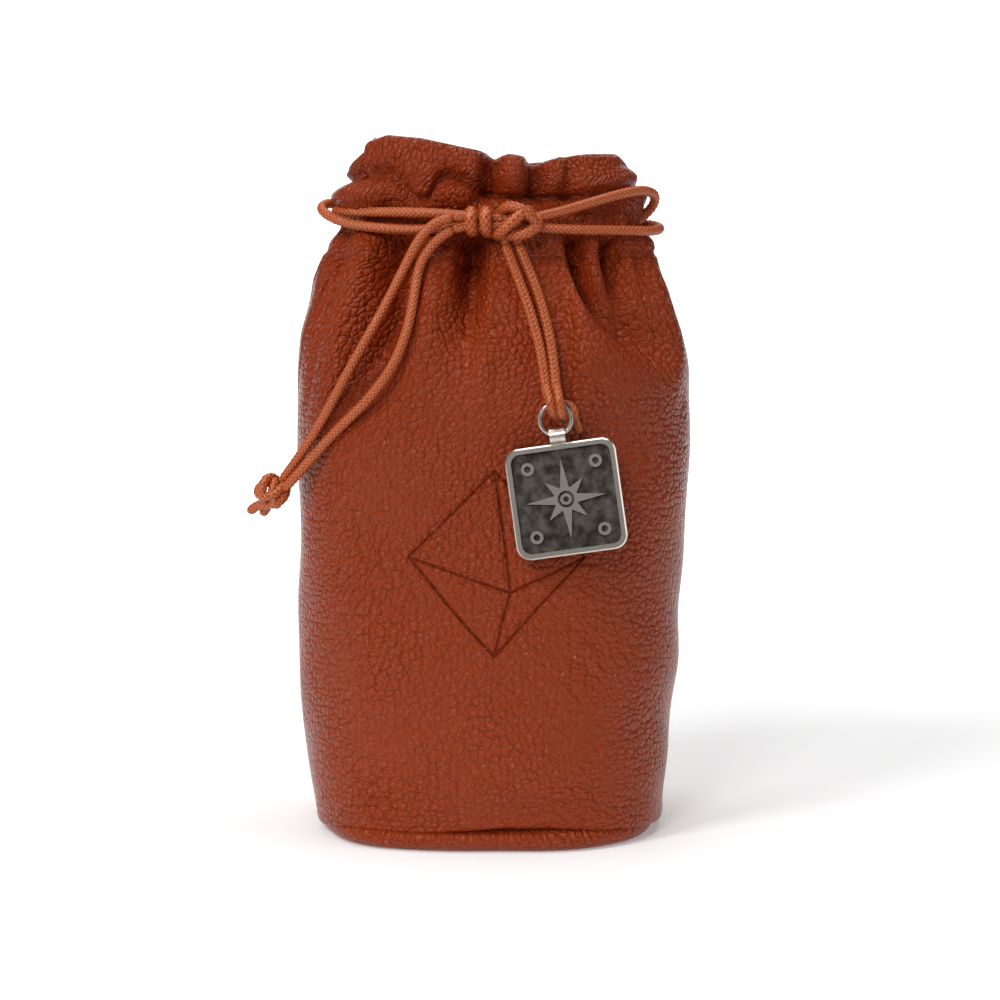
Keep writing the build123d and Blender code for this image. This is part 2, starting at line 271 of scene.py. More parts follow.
def makeCentreKnot():
    sizes = ("inner", "turns", "wraps")
    cord, middling, wide = (dict(cordSetup, surface=knotSetup[size]) for size in sizes)
    parts = [
        # two upright turns at the left of the knot
        braidedTube("turnOne", wrapLine((-5.2, -19.7, 144.1), (2.1, 2.2), 0.2), wide),
        braidedTube("turnTwo", wrapLine((-1.7, -19.9, 144.0), (2.2, 2.3), 0.3), wide),
        # the slanting turn, the turn over the top and the one under it
        strand("turnSlant", middling, [
            (0.2, -18.4, 141.2), (0.6, -21.6, 140.8), (2.4, -23.6, 142.6), (4.8, -23.8, 144.8),
            (7.0, -22.4, 146.6), (8.2, -18.8, 146.4),
        ]),
        strand("turnOver", middling, [
            (0.8, -17.6, 145.2), (2.0, -20.4, 147.2), (4.4, -22.2, 147.6), (7.4, -23.0, 146.2),
            (9.6, -21.8, 143.8), (9.4, -18.6, 142.4),
        ]),
        strand("turnUnder", middling, [
            (9.6, -18.2, 145.4), (10.2, -20.8, 144.0), (8.8, -22.8, 142.0), (6.0, -23.0, 140.9),
            (3.2, -21.4, 140.8), (1.8, -18.6, 141.4),
        ]),
        # the strands inside the turns
        strand("coreUpper", cord, [
            (-7.4, -19.0, 145.0), (-3, -19.6, 144.8), (3, -20.0, 144.6), (9.6, -19.2, 144.6),
        ]),
        strand("coreLower", cord, [
            (-7.4, -19.4, 142.8), (-3, -20.0, 142.8), (3, -20.6, 143.0), (9.6, -19.2, 142.8),
        ]),
        strand("tailsIn", cord, [
            (-9.6, -21.2, 145.0), (-7.6, -21.3, 145.3), (-5.6, -21.0, 145.2), (-3.6, -20.6, 144.8),
        ]),
        # the charm's cords come out at the bottom
        strand("charmOutLeft", cord, [
            (2.0, -19.4, 143.0), (1.9, -20.2, 141.4), (2.1, -20.2, 140.0), (2.5, -20.1, 138.6),
        ]),
        strand("charmOutRight", cord, [
            (4.4, -19.4, 143.0), (4.5, -20.2, 141.4), (4.9, -20.2, 140.0), (5.5, -20.1, 138.6),
        ]),
        strand("tailsInLower", cord, [
            (-9.6, -21.2, 142.2), (-7.4, -21.3, 142.9), (-5.4, -21.0, 143.2), (-3.6, -20.6, 143.2),
        ]),
    ]
    piece = joinPieces("centreKnot", parts)
    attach(piece, "bag")
    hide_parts("centre_knot")
    return piece


def joinPieces(name, parts):
    bpy.ops.object.select_all(action="DESELECT")
    for part in parts:
        part.select_set(True)
    bpy.context.view_layer.objects.active = parts[0]
    bpy.ops.object.join()
    parts[0].name = name
    parts[0].data.name = name
    parts[0].select_set(False)
    return parts[0]


def makeStopperKnot():
    # an overhand knot in both strands, with two cut ends
    cord = dict(cordSetup, surface=knotSetup["stopper"])
    middle = np.array(knotSetup["stopperPlace"])
    along = np.array(knotSetup["stopperRun"])
    along /= np.linalg.norm(along)
    across = np.cross(along, (0, -1, 0))
    across /= np.linalg.norm(across)
    front = np.cross(across, along)

    def place(points):
        return [tuple(middle + along * a + across * b + front * c) for a, b, c in points]

    parts = [
        strand("loopOne", cord, place([
            (-3.4, -0.9, 0.2), (-1.4, -1.2, 1.9), (0.9, 0.2, 2.7), (2.3, 2.3, 1.6), (1.7, 3.0, -0.9),
            (-0.4, 2.2, -2.3), (-2.4, 0.2, -2.2), (-2.6, -2.2, -0.6), (-0.8, -3.0, 1.2),
            (1.4, -2.2, 1.9), (3.2, -0.6, 1.0), (4.6, 0.4, 0.4),
        ])),
        strand("loopTwo", cord, place([
            (-3.2, 1.1, -0.4), (-1.2, 0.9, 1.0), (0.4, -1.6, 2.4), (1.9, -2.9, 0.6), (1.4, -2.2, -1.7),
            (-0.9, -0.6, -2.7), (-2.2, 1.8, -1.8), (-2.0, 3.1, 0.4), (-0.2, 2.7, 2.2), (2.0, 0.9, 2.2),
            (3.6, -0.9, -0.8), (4.7, -1.4, -1.6),
        ])),
        strand("cutEndOne", cord, place([
            (3.6, -0.2, 0.8), (5.2, 0.5, 0.3), (6.8, 0.9, 0.0), (8.2, 1.0, -0.2),
        ])),
        strand("cutEndTwo", cord, place([
            (3.4, -0.8, -0.6), (4.9, -1.4, -1.6), (6.2, -1.6, -2.0), (7.4, -1.6, -2.1),
        ])),
    ]
    piece = joinPieces("stopperKnot", parts)
    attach(piece, "left_tail")
    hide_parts("stopper_knot")
    return piece


def makeCharmTurns():
    # both strands go through the ring from the front and are knotted behind it
    cord = dict(cordSetup, surface=knotSetup["charm"])
    parts = [
        strand("turnLeft", cord, [
            (11.4, -33.6, 107.6), (12.0, -35.6, 105.4), (12.6, -36.9, 103.6), (12.9, -36.6, 101.6),
            (13.6, -35.0, 100.4), (14.6, -33.4, 100.6), (14.8, -32.0, 101.8),
        ]),
        strand("turnRight", cord, [
            (13.8, -33.8, 107.8), (14.3, -35.8, 105.6), (14.6, -37.0, 103.8), (14.9, -36.7, 101.6),
            (15.3, -35.2, 100.1), (16.2, -33.4, 99.9), (16.6, -31.9, 101.0),
        ]),
        strand("knotTurn", cord, [
            (13.9, -31.8, 101.6), (15.2, -31.0, 102.8), (17.0, -31.4, 102.6), (18.2, -32.6, 101.2),
            (18.0, -33.2, 99.4), (16.6, -32.9, 98.2), (15.0, -31.9, 98.6), (14.4, -31.3, 100.2),
        ]),
        strand("cutEndOne", cord, [
            (16.4, -32.6, 100.2), (18.0, -33.2, 99.4), (19.0, -33.0, 97.6), (19.2, -32.8, 96.2),
        ]),
        strand("cutEndTwo", cord, [
            (15.8, -32.0, 99.4), (16.8, -32.4, 97.9), (17.2, -32.8, 96.6), (17.3, -32.8, 95.8),
        ]),
    ]
    piece = joinPieces("charmTurns", parts)
    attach(piece, "charm_strands")
    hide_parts("ring_loops", "charm_knot")
    return piece


centreKnot = makeCentreKnot()
stopperKnot = makeStopperKnot()
charmTurns = makeCharmTurns()
print("knots tied")

layCord("leftDrawcord", leftDrawcordWhole, "bag", "left_drawcord")
layCord("rightDrawcord", rightDrawcordWhole, "bag", "right_drawcord")
tailPieces = [stopperKnot]
charmPieces = [charmTurns, "jump_ring", "charm_plate", "charm_bail"]
for name, route, body, replaces, withPieces in (
    ("leftTailUpper", leftTailUpperRoute, "left_tail", "left_tail_upper", tailPieces),
    ("leftTailLower", leftTailLowerRoute, "left_tail", "left_tail_lower", tailPieces),
    ("charmCordLeft", charmCordLeftRoute, "charm_strands", "charm_cord_left", charmPieces),
    ("charmCordRight", charmCordRightRoute, "charm_strands", "charm_cord_right", charmPieces),
):
    layCord(name, route, body, replaces)
print("cords laid")

# leather panels: each is a flat pattern in s across and v up, bent, folded and gathered into place

bagSetup = {
    "panelWidth": 124.0,  # of one panel's face, seam to seam
    "leather": 1.2,
    "wallStart": 4.0,  # height where the wall starts to turn under
    "turnUnder": 1.3,
    "stitchZ": 135.5,
    "hemEnd": 133.0,
    "foldRadius": 2.5,
    "seamTurn": 0.9,
    "seamAllowance": 4.0,
    "coarse": 1.1,
    "fine": 0.52,
}

# the bag's outside without its folds: height, half width, half depth, sideways shift, squareness
outsideShape = np.array([
    (-2.0, 42.0, 39.6, -1.3, 2.75), (4.8, 42.2, 39.8, -1.4, 2.75), (17.0, 43.7, 39.2, -1.5, 2.7),
    (29.0, 44.1, 38.0, -1.8, 2.6), (41.0, 45.0, 36.6, -1.3, 2.55), (53.0, 45.1, 35.4, -1.6, 2.5),
    (65.0, 45.7, 34.4, -1.0, 2.45), (89.0, 46.9, 32.8, -0.4, 2.35), (101.0, 47.2, 31.4, -0.5, 2.3),
    (110.6, 47.0, 29.2, -0.5, 2.25), (118.0, 45.4, 26.6, -0.8, 2.2), (125.0, 42.2, 23.6, -0.8, 2.15),
    (135.5, 36.8, 17.6, -0.8, 2.1), (144.0, 34.6, 15.2, -0.3, 2.1), (151.5, 33.6, 15.4, -0.8, 2.1),
    (156.0, 30.8, 14.8, -2.0, 2.1), (165.0, 30.4, 14.2, -2.2, 2.1), (171.0, 30.2, 14.0, -2.2, 2.1),
])


def smoothCurve(x, xs, ys):
    # a smooth line through listed values
    xs, ys = np.asarray(xs, float), np.asarray(ys, float)
    slopes = np.gradient(ys, xs)
    x = np.clip(x, xs[0], xs[-1])
    k = np.clip(np.searchsorted(xs, x) - 1, 0, len(xs) - 2)
    width = xs[k + 1] - xs[k]
    t = (x - xs[k]) / width
    return (
        ys[k] * (1 + 2 * t) * (1 - t) ** 2 + slopes[k] * width * t * (1 - t) ** 2
        + ys[k + 1] * t * t * (3 - 2 * t) + slopes[k + 1] * width * t * t * (t - 1)
    )


def smoothStep(t):
    t = np.clip(t, 0, 1)
    return t * t * (3 - 2 * t)


def outlineAt(angle, z, turned=False):
    # the smooth outside at an angle seen from above, -90 degrees being the front, or the back when turned
    wide, deep, shift, power = (smoothCurve(z, outsideShape[:, 0], outsideShape[:, k]) for k in (1, 2, 3, 4))
    cosine, sine = np.cos(angle), np.sin(angle)
    shift = -shift if turned else shift
    reach = (np.abs(cosine) ** power + np.abs(sine) ** power) ** (-1 / power)
    return np.stack([shift + wide * reach * cosine, deep * reach * sine, z + 0 * angle], axis=-1)


# place round the bag: q is the distance from the middle of the front along the outside
ringAngles = np.radians(np.linspace(-90 - 540, -90 + 540, 2161))
frontHalf = (ringAngles > -math.pi) & (ringAngles < 0)


def ringTable(z):
    # distances from the front's middle for every angle, one row for each height
    ring = outlineAt(ringAngles[None, :], np.asarray(z, float)[:, None])
    table = np.cumsum(np.linalg.norm(np.diff(ring, axis=1), axis=-1), axis=1)
    table = np.concatenate([np.zeros((len(z), 1)), table], axis=1)
    return table - table[:, [len(ringAngles) // 2]]


def distanceOf(x, z):
    # q of a place on the front that is seen at x and z
    x, z = np.atleast_1d(np.asarray(x, float)), np.atleast_1d(np.asarray(z, float))
    table = ringTable(z)
    xs = outlineAt(ringAngles[None, frontHalf], z[:, None])[..., 0]
    return np.array([np.interp(a, row, line) for a, row, line in zip(x, xs, table[:, frontHalf])])


def perimeter(z):
    table = ringTable(np.atleast_1d(z))
    third = (len(ringAngles) - 1) // 3
    return table[:, 2 * third] - table[:, third]


# folds, each from its top down: x, height, how far it stands out, width to its left and right.
# Below zero it is a valley.
frontFolds = {
    "leftRidge": [
        (-29.6, 146, 0.6, 4, 4), (-29.6, 140, 1.8, 4.4, 3.6), (-30.4, 134.6, 2.0, 4.8, 3.8),
        (-33.2, 126, 2.2, 5.4, 4.4), (-36.8, 112, 1.8, 6, 5), (-40.4, 97, 0.9, 7, 7),
        (-42, 86, 0, 8, 8),
    ],
    "leftSeamDip": [
        (-34.2, 141, -0.4, 1.8, 1.8), (-36.0, 132, -1.2, 1.8, 1.8), (-39.8, 121, -1.2, 1.8, 1.8),
        (-43.4, 108, -0.6, 1.8, 1.8), (-45, 98, 0, 2, 2),
    ],
    "leftValley": [
        (-25.5, 150, -1.0, 2.5, 2.5), (-22.2, 142, -3.4, 3.2, 2.6), (-21.8, 134.6, -4.8, 3.4, 2.8),
        (-23.8, 126, -4.8, 3.8, 3.4), (-27.6, 114.4, -3.2, 4.6, 4.6), (-33.0, 102.7, -1.2, 7, 7),
        (-38.5, 92, 0, 8, 8),
    ],
    "narrowRidge": [
        (-17.5, 150, 0.6, 2.4, 2.4), (-15.0, 142, 1.6, 2.6, 2.4), (-13.8, 134.7, 2.2, 3.0, 2.8),
        (-14.4, 126, 2.0, 3.6, 3.4), (-16.6, 116, 1.2, 5, 4.6), (-19, 106, 0.4, 7, 7),
        (-20, 98, 0, 8, 8),
    ],
    "smallRidge": [
        (-9.6, 146, 0.8, 1.6, 1.6), (-9.8, 136, 1.2, 1.7, 1.7), (-10.2, 129, 0.7, 2.2, 2.2),
        (-10.8, 122, 0, 3, 3),
    ],
    "deepValley": [
        (-0.6, 165, -4.4, 1.7, 1.3), (-0.8, 158, -4.8, 1.8, 1.4), (-1.6, 151, -4.4, 1.9, 1.6),
        (-4.0, 145, -3.6, 2.3, 2.2), (-5.6, 139.7, -4.4, 2.8, 2.8), (-5.3, 133.5, -4.2, 3.2, 3.4),
        (-5.2, 126, -3.2, 3.8, 4.0), (-6.1, 118.4, -1.8, 5, 5), (-7, 110, -0.6, 6.5, 6.5),
        (-8, 102, 0, 8, 8),
    ],
    "middlePleat": [
        (4.2, 166, 1.4, 2.6, 2.6), (4.4, 158, 1.8, 3.0, 3.0), (4.2, 150, 1.6, 3.2, 3.2),
        (3.4, 143, 1.2, 3.6, 4),
    ],
    "middleRidge": [
        (3.0, 143, 1.0, 4, 4), (2.2, 137, 2.2, 4.4, 5), (2.2, 126, 2.6, 6, 7), (1.8, 112, 1.6, 9, 10),
        (1.2, 98, 0.6, 12, 13), (0, 86, 0, 14, 14),
    ],
    "pleatValley": [
        (9.0, 166, -4.4, 1.5, 1.3), (8.8, 158, -4.8, 1.6, 1.4), (8.8, 151, -4.0, 1.8, 1.7),
        (10.6, 145, -1.6, 2, 2), (11.4, 140, 0, 2.4, 2.4),
    ],
    "crest": [
        (12.4, 146, 1.0, 3, 2.0), (13.9, 138.5, 2.6, 6, 2.2), (16.2, 130.6, 3.2, 9, 2.4),
        (19.0, 123.6, 3.2, 12, 2.8), (24.4, 117.0, 3.0, 14, 3.4), (33.0, 111.6, 2.0, 14, 4),
        (40.6, 107.6, 1.0, 13, 5), (44.6, 105.0, 0.0, 12, 5),
    ],
    "crestValley": [
        (17.4, 148, -1.0, 1.8, 1.8), (17.9, 141, -2.6, 2.1, 2.0), (18.8, 134, -3.8, 2.2, 2.4),
        (21.0, 127.4, -3.8, 2.6, 3.0), (25.6, 120.6, -3.4, 3.2, 4.0), (32.0, 116.4, -2.6, 4, 5),
        (38.4, 113.4, -1.4, 5, 5.4), (43.0, 110.6, 0, 6, 6),
    ],
    "rightRidge": [
        (21.6, 150, 1.0, 2.4, 2.4), (21.8, 142, 1.6, 2.4, 2.4), (22.0, 135.1, 2.2, 2.6, 2.4),
        (24.6, 126.4, 1.6, 3, 2.8), (27.6, 120, 0.6, 3.6, 3.6), (29.0, 116, 0, 4, 4),
    ],
    "rightValley": [
        (26.4, 147, -1.0, 1.9, 1.9), (26.0, 141, -2.0, 2.0, 2.0), (26.4, 134.6, -2.4, 2.2, 2.2),
        (29.0, 127, -1.6, 2.6, 2.8), (32, 120.6, -0.6, 3.4, 3.4), (33.6, 116, 0, 4, 4),
    ],
    "rightSmallRidge": [
        (30.0, 145, 0.8, 2, 2), (30.0, 138, 1.4, 2, 2), (30.8, 132, 1.2, 2.2, 2.2),
        (33, 125, 0.5, 3, 3), (35, 119, 0, 4, 4),
    ],
    "shoulderRidge": [
        (33.0, 152, 0.1, 3, 3), (33.4, 144, 1.0, 3, 3), (34.6, 136, 1.8, 3.6, 3.6),
        (38.0, 127, 1.8, 4.4, 4.4), (42.0, 118, 1.2, 5, 5), (44.6, 110, 0.4, 6, 6),
        (45.2, 103, 0, 7, 7),
    ],
    "rightHemValley": [
        (17.6, 166, -1.6, 1.3, 1.3), (17.4, 158, -2.0, 1.4, 1.4), (16.6, 151, -1.4, 1.7, 1.7),
        (16.4, 147, 0, 2, 2),
    ],
    "lowerDent": [
        (-31.0, 17, 0, 4, 4), (-28.6, 12, -1.0, 4, 4), (-26.0, 8.6, -1.2, 4, 5), (-22.0, 6.5, 0, 4, 4),
    ],
}
backFolds = {
    "ridgeOne": [
        (-34, 156, 0.1, 3, 3), (-33, 146, 0.8, 4, 4), (-34.5, 136, 2.2, 4, 4), (-38, 124, 2.4, 5, 5),
        (-41, 108, 1.4, 7, 7), (-43, 92, 0, 8, 8),
    ],
    "valleyOne": [
        (-27, 162, -1.0, 1.8, 1.8), (-26, 150, -2.0, 2.2, 2.2), (-25, 140, -3.2, 2.8, 2.8),
        (-26, 130, -3.2, 3.4, 3.4), (-29, 118, -2.2, 5, 5), (-33, 104, 0, 7, 7),
    ],
    "ridgeTwo": [
        (-20, 166, 0.6, 3, 3), (-18, 150, 1.4, 3, 3), (-17, 138, 2.4, 3.4, 3.4),
        (-18, 126, 2.4, 4.4, 4.4), (-20, 112, 1.2, 7, 7), (-22, 98, 0, 9, 9),
    ],
    "valleyTwo": [
        (-12, 166, -1.2, 1.8, 1.8), (-10.4, 152, -2.2, 1.8, 1.8), (-9.4, 140, -3.6, 2.6, 2.6),
        (-9, 130, -3.2, 3.2, 3.2), (-9, 117, -1.6, 5, 5), (-8, 104, 0, 7, 7),
    ],
    "ridgeThree": [
        (1, 166, 0.9, 4.4, 3.4), (-1.5, 150, 1.4, 3.4, 3.4), (-1, 138, 2.2, 4, 4),
        (0.5, 124, 2.4, 6, 6), (2, 106, 1.2, 10, 10), (2, 88, 0, 13, 13),
    ],
    "valleyThree": [
        (7, 165, -1.6, 1.5, 1.5), (8, 150, -2.2, 1.8, 1.8), (8.6, 140, -3.4, 2.4, 2.4),
        (9.6, 130, -3.0, 3, 3), (12, 118, -1.8, 4.4, 4.4), (15, 106, 0, 6, 6),
    ],
    "ridgeFour": [
        (17, 164, 0.6, 4, 3), (15, 150, 1.2, 3, 3), (15.6, 138, 2.4, 3.4, 3.4),
        (18, 126, 2.2, 4.4, 4.4), (22, 112, 1.2, 7, 7), (25, 98, 0, 9, 9),
    ],
    "valleyFour": [
        (26, 164, -0.9, 1.6, 2.2), (23.4, 150, -1.8, 2, 2), (23.6, 139, -3.0, 2.6, 2.6),
        (26, 128, -2.8, 3.4, 3.4), (30, 116, -1.6, 5, 5), (34, 104, 0, 7, 7),
    ],
    "ridgeFive": [
        (31, 158, 0.1, 3, 3), (31, 148, 0.8, 3, 3), (32.6, 137, 2.0, 4, 4), (37, 125, 2.0, 5, 5),
        (41, 110, 1.0, 7, 7), (43, 96, 0, 8, 8),
    ],
    "sag": [
        (-20, 60, 0, 14, 14), (0, 44, -1.4, 16, 16), (18, 30, 0, 14, 14),
    ],
}


def addFolds(total, q, z, folds, shift):
    # each fold adds its height by the distance to its line
    for path in folds.values():
        path = np.array(path, float)
        lineQ = distanceOf(path[:, 0], path[:, 1]) + shift(path[:, 1])
        nearest = np.full(q.shape, 1e9)
        height = np.zeros(q.shape)
        for k in range(len(path) - 1):
            runQ, runZ = lineQ[k + 1] - lineQ[k], path[k + 1, 1] - path[k, 1]
            share = np.clip(((q - lineQ[k]) * runQ + (z - path[k, 1]) * runZ) / (runQ**2 + runZ**2), 0, 1)
            offQ, offZ = q - lineQ[k] - share * runQ, z - path[k, 1] - share * runZ
            distance = np.hypot(offQ, offZ)
            rightSide = runQ * offZ - runZ * offQ > 0
            stands = path[k, 2] + (path[k + 1, 2] - path[k, 2]) * share
            left = path[k, 3] + (path[k + 1, 3] - path[k, 3]) * share
            right = path[k, 4] + (path[k + 1, 4] - path[k, 4]) * share
            width = np.where(rightSide, right, left)
            bump = stands * np.exp(-((distance / width) ** 2))
            closer = distance < nearest
            height = np.where(closer, bump, height)
            nearest = np.where(closer, distance, nearest)
        total += height


def foldHeight(q, z):
    # how far the outside stands out at q and z, the same for both panels
    total = np.zeros(q.shape)
    around = perimeter(z[:, 0])[:, None]
    for turn in (-1, 0, 1):
        addFolds(total, q + turn * around, z, frontFolds, lambda heights: 0)
        addFolds(total, q + turn * around, z, backFolds, lambda heights: perimeter(heights) / 2)
    underNeck = smoothStep((z - 90) / 14) * (1 - smoothStep((z - 138) / 5))
    inHeader = smoothStep((z - 148) / 4)
    total *= 1 + 0.85 * underNeck + 0.35 * inHeader
    angle = 2 * math.pi * q / around
    gathered = np.exp(-(((z - 137) / 9.0) ** 2))
    total += 0.34 * gathered * np.sin(31 * angle + 1.7 * np.sin(5 * angle) + z * 0.09)
    total += 0.16 * gathered * np.sin(53 * angle + 2.1 * np.sin(7 * angle) - z * 0.05)
    return total


waveDirections = [
    ((0.061, 0.043, 0.083), 0.35, 0.3), ((-0.082, 0.051, 0.062), 0.3, 1.7), ((0.131, -0.09, 0.11), 0.2, 4.1),
    ((0.09, 0.14, -0.15), 0.16, 2.2), ((-0.21, 0.13, 0.19), 0.1, 5.3), ((0.26, 0.22, 0.24), 0.07, 0.9),
]


def unevenness(places):
    # slow, uneven waves of soft leather
    total = np.zeros(places.shape[:-1])
    for direction, height, start in waveDirections:
        drift = np.sin(places[..., 2] * 0.031 + start)
        total += height * np.sin(places @ np.array(direction) + start + drift)
    return total


hemSetup = {
    "bulge": (2.0, 147.2, 3.6),  # each is how far out, at what height and how wide
    "stitchGroove": (-0.6, bagSetup["stitchZ"], 0.8),
    "channelLip": (0.25, 139.0, 2.2),
    "pinch": (1.3, 144.0, 2.4),
    "backPinch": 1.0,
    "puffReach": 3.0,
    "crease": (2.3, 0.9),  # depth and width
    "header": (1.6, 4.2),  # height and width
    "cordBand": (144.5, 4.2),
    "deepest": -0.3,  # the least room for the cords in the channel
    "frontRoom": 1.2,
    "backRoom": 0.5,
    "charmRoom": 0.9,
    "seamDrop": 2.4,
}


def bandAt(z, middle, reach):
    return np.exp(-(((z - middle) / reach) ** 2))


# the hem's lines, seen from the front: the top edge, and the crease under the header
headerTop = np.array([
    (-40, 155), (-35.0, 158), (-33.4, 160.2), (-30.4, 162.4), (-25.6, 163.9), (-17.4, 163.2),
    (-8.1, 161.2), (-2.0, 160.0), (0.0, 158.6), (3.0, 159.4), (7.0, 158.8), (9.4, 157.2), (12.0, 158.0),
    (15.1, 158.8), (22.1, 159.4), (29.2, 159.2), (33, 157.6), (40, 156),
])
headerCrease = np.array([
    (-40, 152.6), (-34, 154.0), (-24.3, 155.6), (-21.6, 152.4), (-18.4, 148.9), (-15.8, 148.8),
    (-14.2, 152.3), (-12.6, 154.6), (-9.6, 155.0), (-6.0, 153.2), (-2.5, 149.8), (2, 149.4), (7, 149.2),
    (10, 149.0), (16, 149.4), (22, 150.0), (30, 151.2), (40, 151.2),
])
hemPuff = np.array([
    (-40, 3.4), (-34, 4.0), (-28, 3.2), (-24, 1.4), (-20, -0.8), (-16.5, -0.8), (-13, 1.2), (-9, 2.0),
    (-5, 1.0), (-1, -0.4), (4, 0.2), (9, -0.4), (14, 0.4), (20, 0.4), (26, 0.7), (31, 1.4), (36, 1.6),
    (40, 1.6),
])
# the back's crease and puff, with the front's values at both seams
backHem = np.array([
    (-40, 151.2, 2.5), (-33, 151.6, 2.2), (-24, 153.2, 0.8), (-15, 152.2, 1.6), (-6, 153.4, 0.6),
    (3, 152.4, 1.8), (12, 153.0, 0.7), (22, 152.2, 1.7), (32, 152.8, 1.2), (40, 152.6, 2.6),
    (48, 153.4, 3.8),
])
# the back's top edge, by the distance from its middle, towards the bag's left
backTop = np.array([
    (-40, 157.4), (-34, 156.8), (-28, 156.6), (-20, 157.0), (-12, 157.4), (-5, 157.0), (2, 158.0),
    (12, 158.6), (22, 159.0), (30, 158.4), (37, 157.6), (41, 159.2), (44, 161.0), (48, 162.4),
])


def acrossLine(line, x):
    return np.interp(x, line[:, 0], line[:, 1])


def hemLines(x, q, isFront):
    # height of the top edge, height of the crease, and how far the channel puffs out
    if isFront:
        return (acrossLine(line, x) for line in (headerTop, headerCrease, hemPuff))
    return acrossLine(backTop, q), acrossLine(backHem, q), np.interp(q, backHem[:, 0], backHem[:, 2])


def seamShift(z, side):
    # the gathers pull the left seam to the front and the right one to the back
    return (7.0 if side < 0 else 6.0) * smoothStep((z - 92) / 24)


wallLine = np.array([
    (-75, 2.6), (-60, 1.8), (-52, 1.5), (-44, 2.3), (-36, 3.5), (-27, 4.0), (-18, 3.8), (-8, 4.7),
    (4, 5.8), (14, 5.4), (24, 4.3), (34, 3.6), (44, 3.0), (52, 2.2), (60, 1.8), (75, 2.6),
])


def lowerEdge(q, isFront):
    # height of the wall's lowest line round the base
    if isFront:
        return np.interp(q, wallLine[:, 0], wallLine[:, 1])
    return 2.6 + 0.8 * np.sin(q * 0.083 + 0.6) * np.exp(-((q / 46) ** 4))


def spacedValues(marks, finePart):
    # values from the first mark to the last, close together inside finePart
    values = [marks[0]]
    while values[-1] < marks[1] - 1e-6:
        isFine = finePart and finePart[0] <= values[-1] < finePart[1]
        values.append(values[-1] + bagSetup["fine" if isFine else "coarse"])
    values[-1] = marks[1]
    return np.array(values)


def ringPlaces(q, z, zPlaced, turned):
    # points of the smooth outside at their placed heights, with the outward direction
    table = ringTable(z[:, 0])
    angle = np.array([np.interp(row, line, ringAngles) for row, line in zip(q, table)])
    places = outlineAt(angle, np.clip(zPlaced, -2, 170), turned)
    rise = outlineAt(angle, z + 0.4, turned) - outlineAt(angle, z - 0.4, turned)
    along = outlineAt(angle + 0.004, z) - outlineAt(angle - 0.004, z)
    outward = np.cross(along, rise)
    outward /= np.linalg.norm(outward, axis=-1, keepdims=True)
    places[..., 2] = zPlaced
    return places, outward


def levelOut(outward):
    flat = outward * np.array((1, 1, 0))
    return flat / np.linalg.norm(flat, axis=-1, keepdims=True)


stitchLines = {}


